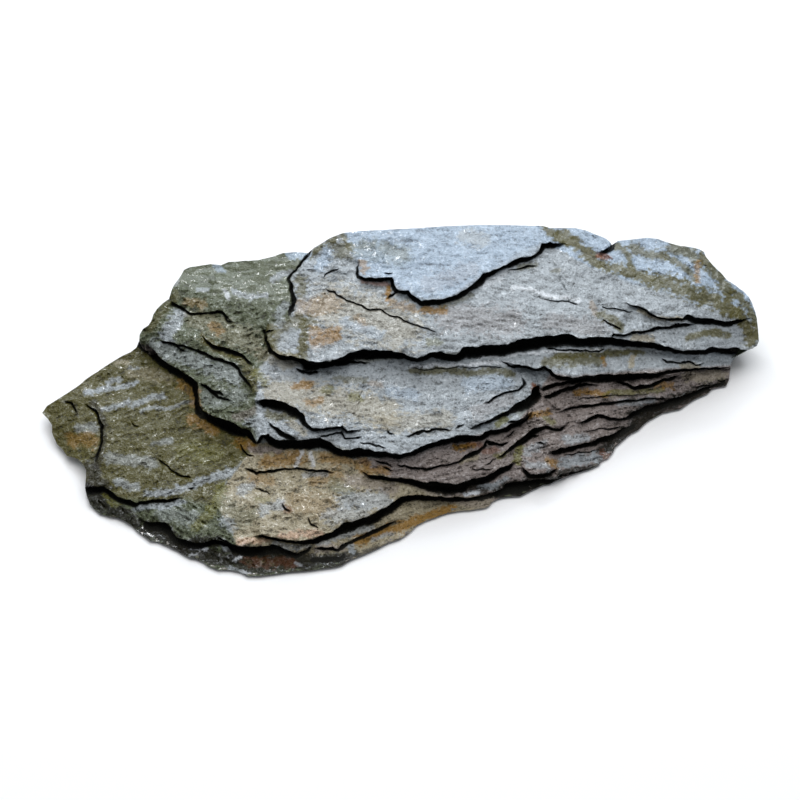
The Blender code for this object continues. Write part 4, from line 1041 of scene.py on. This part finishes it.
def inside(points, loop):
    """Which points lie inside a closed loop."""
    result = np.zeros(len(points), bool)
    for (x0, y0), (x1, y1) in zip(loop, np.roll(loop, -1, axis=0)):
        if y0 == y1:
            continue
        crosses = (points[:, 1] > y0) != (points[:, 1] > y1)
        at = x0 + (points[:, 1] - y0) * (x1 - x0) / (y1 - y0)
        result ^= crosses & (points[:, 0] < at)
    return result


def nearest_distance(points, others):
    """Distance from each point to the nearest of the others."""
    tree = kdtree.KDTree(len(others))
    for index, (x, y) in enumerate(others.tolist()):
        tree.insert((x, y, 0.0), index)
    tree.balance()
    return np.array([tree.find((x, y, 0.0))[2] for x, y in points.tolist()])


def lattice(low, high, step, rng):
    """A staggered grid of loosely placed points."""
    rows = np.arange(low[1], high[1], step * LATTICE_ROW)
    points = [
        (x + (0.5 * step if index % 2 else 0.0), y)
        for index, y in enumerate(rows)
        for x in np.arange(low[0], high[0], step)
    ]
    return np.array(points) + rng.uniform(-LATTICE_PLAY, LATTICE_PLAY, (len(points), 2)) * step


def turning(loop):
    """Positive where a closed loop runs from the first axis towards the second."""
    ahead = np.roll(loop, -1, axis=0)
    return (loop[:, 0] * ahead[:, 1] - loop[:, 1] * ahead[:, 0]).sum()


def triangulate(loop, lines, loose):
    """Triangles inside a loop that keep to the given lines, and the points they use."""
    points = [Vector(point) for point in (loop if turning(loop) > 0 else loop[::-1])]
    patch = [list(range(len(points)))]
    edges = []
    for line in lines:
        first = len(points)
        points += [Vector(point) for point in line]
        edges += [(first + index, first + index + 1) for index in range(len(line) - 1)]
    points += [Vector(point) for point in loose]
    flat, _, faces, _, _, patches = delaunay_2d_cdt(points, edges, patch, 0, MERGE)
    flat = np.array([tuple(point) for point in flat])
    faces = np.array([face for face, within in zip(faces, patches) if within])
    used = np.unique(faces)
    renumber = np.zeros(len(flat), int)
    renumber[used] = np.arange(len(used))
    return flat[used], renumber[faces]


def rim(faces, view):
    """Point numbers around a patch of triangles, clockwise as the viewer sees them."""
    sides = {(a, b) for face in faces.tolist() for a, b in zip(face, face[1:] + face[:1])}
    following = {a: b for a, b in sides if (b, a) not in sides}
    start = min(following)
    loop = [start]
    while following[loop[-1]] != start:
        loop.append(following[loop[-1]])
    return np.array(loop if turning(view[loop]) > 0 else loop[::-1])


def eased(values, passes):
    """Values around a closed loop, averaged with their neighbours."""
    for _ in range(passes):
        beside_each = np.roll(values, 1, axis=0) + np.roll(values, -1, axis=0)
        values = 0.5 * values + 0.25 * beside_each
    return values


def facing_viewer(view_rim):
    """1 where the outline faces the viewer, 0 where it faces away, softly between them."""
    run = np.roll(view_rim, -1, axis=0) - np.roll(view_rim, 1, axis=0)
    return eased(smooth_step(0.5 - 1.3 * run[:, 0] / np.hypot(run[:, 0], run[:, 1])), 30)


def bed_outline(edge, front):
    """Where each point of the upper face's edge comes down: drawn in towards the middle."""
    middle = 0.5 * (edge[:, :2].min(axis=0) + edge[:, :2].max(axis=0))
    arm = edge[:, :2] - middle
    far_inset = BACK_INSET_MM + BACK_INSET_PER_HEIGHT * edge[:, 2]
    near_inset = FRONT_INSET_MM + FRONT_INSET_PER_HEIGHT * edge[:, 2]
    inset = far_inset + (near_inset - far_inset) * front
    return eased(edge[:, :2] - arm * (inset / np.hypot(arm[:, 0], arm[:, 1]))[:, None], 120)


def ripple(edge, scale, layer):
    """A soft irregular wave along the edge, its own for each layer."""
    return np.array([noise.noise(Vector((x * scale, y * scale, layer))) for x, y, _ in edge])


def thick_layers(edge, front, foot):
    """Rings of points from the upper face's edge down to the bed, one a thick layer's edge."""
    far = 1.0 - front
    rings = [edge]
    for index, (down, inward, _) in enumerate(WALL_LAYERS):
        layer = LAYER_SPACING * (index // 2)
        loose = far * (down < 1.0)
        share = down + (inward - down) * far + WALL_JUT * loose * ripple(edge, WALL_JUT_SCALE, layer)
        level = edge[:, 2] * (1.0 - down) + BED_EDGE_MM * down
        level += WALL_SWAY * loose * edge[:, 2] * ripple(edge, WALL_SWAY_SCALE, layer)
        place = edge[:, :2] + (foot - edge[:, :2]) * np.clip(share, 0.02, 1.0)[:, None]
        rings.append(np.column_stack([place, level]))
    return rings


def wall_rings(edge, front):
    """Rings of the hidden sides: the thick layers' edges and thin broken layers between."""
    foot = bed_outline(edge, front)
    outward = edge[:, :2] - foot
    outward /= np.hypot(outward[:, 0], outward[:, 1])[:, None] + 1e-9
    thick = thick_layers(edge, front, foot)
    free = smooth_step(edge[:, 2] / 12.0) * (1.0 - front)
    rings = []
    number = 0
    for index, (_, _, count) in enumerate(WALL_LAYERS):
        for step in range(1, count + 1):
            number += 1
            share = step / count
            ring = thick[index] + (thick[index + 1] - thick[index]) * share
            if index < len(WALL_LAYERS) - 1 or share < 1.0:
                jut = ripple(edge, 0.045, 3.7 * number) + 0.6 * ripple(edge, 0.16, 2.9 * number)
                side = 1.0 if number % 2 else -0.4
                ring[:, :2] += outward * (THIN_LAYER_JUT_MM * free * (jut + 0.3 * side))[:, None]
                ring[:, 2] += 0.5 * free * ripple(edge, 0.12, 5.3 * number)
            rings.append(ring)
    return rings


def bed_heights(points, loop):
    """The bed face: flat on the resting plane, worn up along its edge and in a few scars."""
    inward = np.clip(nearest_distance(points, loop) / BED_WEAR_MM, 0.0, 1.0)
    level = BED_EDGE_MM * (1.0 - inward)
    for x, y, half_length, half_width, depth in BED_SCARS_MM:
        away = np.hypot((points[:, 0] - x) / half_length, (points[:, 1] - y) / half_width)
        level = np.maximum(level, depth * smooth_step(4.0 * (1.0 - away)) * inward)
    rough = [noise.noise(Vector((x * 0.09, y * 0.09, SEED))) for x, y in points]
    return level + 0.5 * inward * np.maximum(np.array(rough), 0.0)


def upper_face(sizes, colours, rng):
    """View points, world points, triangles and marks of everything the viewer sees."""
    loop = along_line(OUTLINE, EDGE_STEP, closed=True)
    lines = []
    for _, _, _, _, brink in LEDGES + CRACKS:
        line = along_line(brink, LINE_STEP)
        for below in (line[:, :2], beneath(line, 0.0, UNDERCUT), beneath(line, 1.0, FOOT)):
            lines.append(wandered(below))
    loose = lattice(loop.min(axis=0), loop.max(axis=0), LATTICE_STEP, rng)
    loose = loose[inside(loose, loop)]
    taken = np.concatenate([loop] + lines)
    loose = loose[nearest_distance(loose, taken) > CLEARANCE]
    view, faces = triangulate(loop, lines, loose)
    drawn = view + waver(view)
    level = fit_slope()(drawn)
    marks = {"cleft": np.zeros(len(view)), "lip": np.zeros(len(view))}
    ledge_form(drawn, level, marks, LEDGES, LEDGE_REACH, sizes)
    ledge_form(drawn, level, marks, CRACKS, DETAIL_REACH, sizes)
    shares = area_shares(drawn)
    relief, marks["crest"] = fine_relief(view, shares, sizes)
    level += relief * (1.0 - 0.7 * marks["cleft"])
    level = np.maximum(level, THINNEST_MM)
    marks["speckled"] = sum(area[2] * share for area, share in zip(AREAS, shares))
    marks["tint"] = paint(drawn, shares, marks["crest"], colours)
    x, y = sight_point(view[:, 0], view[:, 1], level, sizes)
    return view, np.column_stack([x, y, level]), faces, marks


def build_surface(sizes, colours):
    """All points in millimetres, all triangles pointing outwards, and the marks."""
    rng = np.random.default_rng(SEED)
    view, top, top_faces, marks = upper_face(sizes, colours, rng)
    loop = rim(top_faces, view)
    edge = top[loop]
    rings = wall_rings(edge, facing_viewer(view[loop]))
    points = [top] + rings
    around = len(loop)
    faces = [top_faces[:, ::-1]]
    upper = loop
    first = len(top)
    for _ in rings:
        lower = first + np.arange(around)
        a, b, c, d = upper, np.roll(upper, -1), np.roll(lower, -1), lower
        faces += [np.column_stack([a, b, c]), np.column_stack([a, c, d])]
        upper = lower
        first += around
    bed_loop = rings[-1][:, :2]
    loose = lattice(bed_loop.min(axis=0), bed_loop.max(axis=0), BED_STEP_MM, rng)
    loose = loose[inside(loose, bed_loop)]
    loose = loose[nearest_distance(loose, bed_loop) > 0.5 * BED_STEP_MM]
    bed, bed_faces = triangulate(bed_loop, [], loose)
    bed = np.column_stack([bed, bed_heights(bed, bed_loop)])
    faces.append(bed_faces[:, ::-1] + len(np.concatenate(points)))
    points.append(bed)
    whole = hidden_marks(marks, loop, rings, np.concatenate(points)[len(top):], colours)
    return np.concatenate(points), np.concatenate(faces), whole


def hidden_marks(marks, loop, rings, points, colours):
    """The marks carried on down the hidden sides and over the bed."""
    damp = [noise.fractal(Vector(point) * HIDDEN_PATCHES, 0.6, 2.1, 4) for point in points]
    damp = smooth_step(0.5 + 1.4 * np.array(damp))[:, None]
    deep = {
        "cleft": np.zeros(len(points)),
        "lip": np.zeros(len(points)),
        "crest": np.zeros(len(points)),
        "speckled": np.full(len(points), HIDDEN_SPECKLED),
        "tint": np.array(colours.slate) * damp + np.array(colours.rose) * (1.0 - damp),
    }
    whole = {}
    for name, values in marks.items():
        hidden = deep[name]
        for number in range(HIDDEN_BLEND):
            share = smooth_step(number / HIDDEN_BLEND)
            ring = slice(number * len(loop), (number + 1) * len(loop))
            hidden[ring] = values[loop] * (1.0 - share) + hidden[ring] * share
        whole[name] = np.concatenate([values, hidden])
    return whole


class Value:
    """A number that varies over the surface. Arithmetic on it adds Math nodes."""

    def __init__(self, shading, socket):
        self.shading = shading
        self.socket = socket

    def maths(self, operation, *numbers):
        node = self.shading.add("ShaderNodeMath", {"operation": operation}, dict(enumerate(numbers)))
        return Value(self.shading, node.outputs[0])

    def __add__(self, other):
        return self.maths("ADD", self, other)

    def __mul__(self, other):
        return self.maths("MULTIPLY", self, other)

    def __sub__(self, other):
        return self.maths("SUBTRACT", self, other)

    def __rsub__(self, other):
        return self.maths("SUBTRACT", other, self)

    __radd__ = __add__
    __rmul__ = __mul__

    def held(self):
        """The number kept between 0 and 1."""
        return self.maths("MAXIMUM", self.maths("MINIMUM", self, 1.0), 0.0)

    def between(self, low, high):
        """0 below the low number, 1 above the high one, softly between them."""
        settings = {"interpolation_type": "SMOOTHSTEP"}
        node = self.shading.add("ShaderNodeMapRange", settings, {0: self, 1: low, 2: high})
        return Value(self.shading, node.outputs[0])


class Shading:
    """A node tree's nodes, added one by one."""

    def __init__(self, owner, end):
        owner.use_nodes = True
        self.owner = owner
        self.tree = owner.node_tree
        self.end = self.tree.nodes[end]

    def put(self, socket, value):
        """Gives a socket a number, a colour or a link."""
        if isinstance(value, Value):
            value = value.socket
        if isinstance(value, bpy.types.NodeSocket):
            self.tree.links.new(value, socket)
        elif socket.type == "RGBA" and len(value) == 3:
            socket.default_value = (*value, 1.0)
        else:
            socket.default_value = value

    def add(self, kind, settings=None, inputs=None):
        """A node of a type, with its settings set first and then its sockets."""
        node = self.tree.nodes.new(kind)
        for name, value in (settings or {}).items():
            setattr(node, name, value)
        for name, value in (inputs or {}).items():
            self.put(node.inputs[name], value)
        return node

    def mark(self, name):
        """A mark of the mesh, as a number."""
        return Value(self, self.add("ShaderNodeAttribute", {"attribute_name": name}).outputs["Fac"])

    def noise(self, place, size, detail=2.0, roughness=0.5, seed=0.0, distortion=0.0):
        """Noise of a size in metres over places in object space, from 0 to 1."""
        inputs = {
            "Vector": place, "Scale": 1.0 / size, "Detail": detail, "Roughness": roughness,
            "Distortion": distortion, "W": seed,
        }
        node = self.add("ShaderNodeTexNoise", {"noise_dimensions": "4D"}, inputs)
        return Value(self, node.outputs[0])

    def mix(self, share, first, second):
        """One colour into another by a share."""
        node = self.add("ShaderNodeMix", {"data_type": "RGBA"}, {0: share, 6: first, 7: second})
        return node.outputs[2]


def wet_slate(colours):
    """Slate under water: the painted tints, with painted shade in the troughs and clefts and painted
    sheen and glints on the crests and lips.
    """
    skin = Shading(bpy.data.materials.new("wet slate"), "Principled BSDF")
    place = skin.add("ShaderNodeTexCoord").outputs["Object"]
    tint = skin.add("ShaderNodeAttribute", {"attribute_name": "tint"}).outputs["Color"]
    patchy = skin.noise(place, 0.0065, 4.0, 0.6)
    fine = skin.noise(place, 0.0019, 2.0, 0.6, seed=3.0)
    speck = skin.noise(place, 0.0009, 1.0, 0.5, seed=6.0)
    crest = skin.mark("crest")
    speckled = skin.mark("speckled")
    cleft = skin.mark("cleft")
    lip = skin.mark("lip")

    # How high each place is in its wrinkles, with noise: low places take painted shade, high ones painted
    # sheen and glints.
    high = crest * 0.5 + (patchy - 0.5) * 1.0 + (fine - 0.5) * 2.2 + (speck - 0.5) * 1.8
    # The low places of the wrinkles get painted shade, more where the area is speckled.
    trough_shade_share = (high * -1.0).between(0.05, 0.75) * (speckled * 0.6 + 0.3)
    high_share = high.between(0.0, 0.7)
    glint_share = high.between(0.45, 1.15) * (speckled * 0.5 + 0.3)
    # Where the cleft mark is high, with ragged edges from the noise, the material lays painted shade in
    # the cleft.
    gap = (cleft + (fine - 0.5) * 1.0 + (speck - 0.5) * 0.6).between(0.35, 0.75)
    brighter = {"operation": "MULTIPLY_ADD"}
    # The tints brightened by a painted sheen for the crests.
    crest_sheen_tint = skin.add("ShaderNodeVectorMath", brighter, {0: tint, 1: (1.4, 1.4, 1.4), 2: colours.painted_crest_sheen})
    # The tints brightened further by painted glints for the brightest crests and the lips.
    drops = skin.add("ShaderNodeVectorMath", brighter, {0: tint, 1: (1.2, 1.2, 1.2), 2: colours.drops})
    # Painted shade in the troughs, painted sheen on the crests, painted glints on the highest crests and
    # along the lips, and painted shade in the clefts.
    colour = skin.mix(trough_shade_share, tint, colours.painted_trough_shade)
    colour = skin.mix(high_share * 0.7, colour, crest_sheen_tint.outputs[0])
    colour = skin.mix(glint_share, colour, drops.outputs[0])
    colour = skin.mix(lip * high_share * 0.7, colour, drops.outputs[0])
    colour = skin.mix(gap * 0.97, colour, colours.cleft)
    skin.put(skin.end.inputs["Base Color"], colour)

    rough = gap * 0.4 + 0.36 + (fine - 0.5) * 0.3
    skin.put(skin.end.inputs["Roughness"], rough.held())
    film = (patchy - 0.5) * 1.2 + 0.45
    coat = (1.0 - gap) * ((1.0 - speckled) * film + speckled * high_share)
    skin.put(skin.end.inputs["Coat Weight"], coat.held())
    skin.end.inputs["Coat Roughness"].default_value = 0.10
    skin.end.inputs["Coat IOR"].default_value = 1.45
    skin.end.inputs["IOR"].default_value = 1.28
    height = high * (speckled * 0.7 + 0.3)
    bump = skin.add("ShaderNodeBump", None, {"Strength": 1.0, "Distance": 0.0006, "Height": height})
    skin.put(skin.end.inputs["Normal"], bump.outputs[0])
    return skin.owner


def deselect_all():
    """Leaves nothing selected and nothing active."""
    bpy.ops.object.select_all(action="DESELECT")
    bpy.context.view_layer.objects.active = None


def weld(piece):
    """Merges doubled points and turns all faces outwards."""
    deselect_all()
    piece.select_set(True)
    bpy.context.view_layer.objects.active = piece
    bpy.ops.object.mode_set(mode="EDIT")
    bpy.ops.mesh.select_all(action="SELECT")
    bpy.ops.mesh.remove_doubles(threshold=WELD)
    bpy.ops.mesh.normals_make_consistent(inside=False)
    bpy.ops.object.mode_set(mode="OBJECT")


def raise_grain(piece, kind, size, height):
    """Displaces the piece's surface by a procedural texture, and applies it."""
    pattern = bpy.data.textures.new("grain", kind)
    pattern.noise_scale = size
    modifier = piece.modifiers.new("grain", "DISPLACE")
    modifier.texture = pattern
    modifier.texture_coords = "LOCAL"
    modifier.strength = height
    modifier.mid_level = 0.5
    bpy.ops.object.modifier_apply(modifier=modifier.name)


def rest_on_floor(mesh):
    """Presses what the grain pushed below the resting plane back up to it."""
    places = np.empty(3 * len(mesh.vertices))
    mesh.vertices.foreach_get("co", places)
    places[2::3] = np.maximum(places[2::3], 0.0)
    mesh.vertices.foreach_set("co", places)


class SlabOperator(bpy.types.Operator):
    """Shapes the layered slab from its drawn ledges, finishes it, and puts it for the solid"""

    bl_idname = "stone.shape_slab"
    bl_label = "Shape the slab"

    def execute(self, context):
        sizes = context.scene.stone_sizes
        points, faces, marks = build_surface(sizes, context.scene.stone_colours)
        mesh = bpy.data.meshes.new("slate slab")
        mesh.from_pydata((points * MILLIMETRE).tolist(), [], faces.tolist())
        for name, values in marks.items():
            if values.ndim == 1:
                layer = mesh.attributes.new(name, "FLOAT", "POINT")
                layer.data.foreach_set("value", values.astype(np.float32))
            else:
                layer = mesh.color_attributes.new(name, "FLOAT_COLOR", "POINT")
                whole = np.column_stack([values, np.ones(len(values))]).astype(np.float32)
                layer.data.foreach_set("color", whole.ravel())
        slab = bpy.data.objects.new("slate_slab", mesh)
        context.collection.objects.link(slab)
        weld(slab)
        raise_grain(slab, "CLOUDS", sizes.grain_size, sizes.grain_height)
        rest_on_floor(mesh)
        bpy.ops.object.shade_smooth_by_angle(angle=math.radians(55.0))
        mesh.materials.append(wet_slate(context.scene.stone_colours))
        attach(slab, "root")
        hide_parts("stone")
        return {"FINISHED"}


class StudioOperator(bpy.types.Operator):
    """Lays the pale floor, hangs the lights and sets up the camera"""

    bl_idname = "stone.set_studio"
    bl_label = "Set the studio"

    def execute(self, context):
        studio = context.scene.stone_studio
        sizes = context.scene.stone_sizes
        deselect_all()
        bpy.ops.mesh.primitive_plane_add(size=studio.floor_size, location=(0.0, 0.0, 0.0))
        floor = context.object
        floor.name = "floor"
        plain = Shading(bpy.data.materials.new("pale floor"), "Principled BSDF")
        plain.put(plain.end.inputs["Base Color"], studio.floor_colour)
        plain.put(plain.end.inputs["Roughness"], 0.9)
        plain.put(plain.end.inputs["Specular IOR Level"], 0.0)
        floor.data.materials.append(plain.owner)
        hang_light(
            "overhead", (0.0, 0.2, 1.7), (2.4, 2.0), studio.overhead_power, (1.0, 1.0, 1.0), 1.0)
        hang_light(
            "panel", (0.0, 1.45, 1.02), (2.0, 0.8), studio.panel_power, (0.86, 0.93, 1.0), 0.15)
        hang_light(
            "glint", (-0.25, 1.0, 0.9), (0.12, 0.12), studio.glint_power, (1.0, 1.0, 1.0), 0.1)
        world = bpy.data.worlds.new("room")
        world.use_nodes = True
        world.node_tree.nodes["Background"].inputs[0].default_value = (*studio.room_colour, 1.0)
        context.scene.world = world
        context.scene.view_settings.view_transform = "Standard"
        aim = Vector(sizes.aim)
        back = Vector((0.0, -math.cos(sizes.view_elevation), math.sin(sizes.view_elevation)))
        bpy.ops.object.camera_add(location=aim + back * sizes.view_distance)
        camera = context.object
        camera.rotation_euler = (0.5 * math.pi - sizes.view_elevation, 0.0, 0.0)
        camera.data.lens = studio.lens_mm
        camera.data.sensor_width = 36.0
        context.scene.camera = camera
        return {"FINISHED"}


def hang_light(name, location, size, power, colour, diffuse):
    """A flat rectangular light that faces the stone."""
    bpy.ops.object.light_add(type="AREA", location=location)
    light = bpy.context.object
    light.name = name
    light.data.shape = "RECTANGLE"
    light.data.size, light.data.size_y = size
    light.data.energy = power
    light.data.color = colour
    light.data.diffuse_factor = diffuse
    light.rotation_euler = (-Vector(location)).to_track_quat("-Z", "Y").to_euler()


class StonePanel(bpy.types.Panel):
    """Lists the stone's steps, sizes and colours"""

    bl_idname = "VIEW3D_PT_river_stone"
    bl_label = "River stone"
    bl_space_type = "VIEW_3D"
    bl_region_type = "UI"
    bl_category = "River stone"

    def draw(self, context):
        for group in (context.scene.stone_sizes, context.scene.stone_colours, context.scene.stone_studio):
            box = self.layout.box()
            for name in group.bl_rna.properties.keys():
                if name not in ("rna_type", "name"):
                    box.prop(group, name)
        self.layout.operator(SlabOperator.bl_idname)
        self.layout.operator(StudioOperator.bl_idname)


CLASSES = (StoneSizes, StoneColours, StudioSettings, SlabOperator, StudioOperator, StonePanel)


def register():
    for each in CLASSES:
        bpy.utils.register_class(each)
    bpy.types.Scene.stone_sizes = PointerProperty(type=StoneSizes)
    bpy.types.Scene.stone_colours = PointerProperty(type=StoneColours)
    bpy.types.Scene.stone_studio = PointerProperty(type=StudioSettings)


def unregister():
    del bpy.types.Scene.stone_studio
    del bpy.types.Scene.stone_colours
    del bpy.types.Scene.stone_sizes
    for each in reversed(CLASSES):
        bpy.utils.unregister_class(each)


def main():
    register()
    bpy.ops.stone.shape_slab()
    bpy.ops.stone.set_studio()


if __name__ == "__main__":
    main()
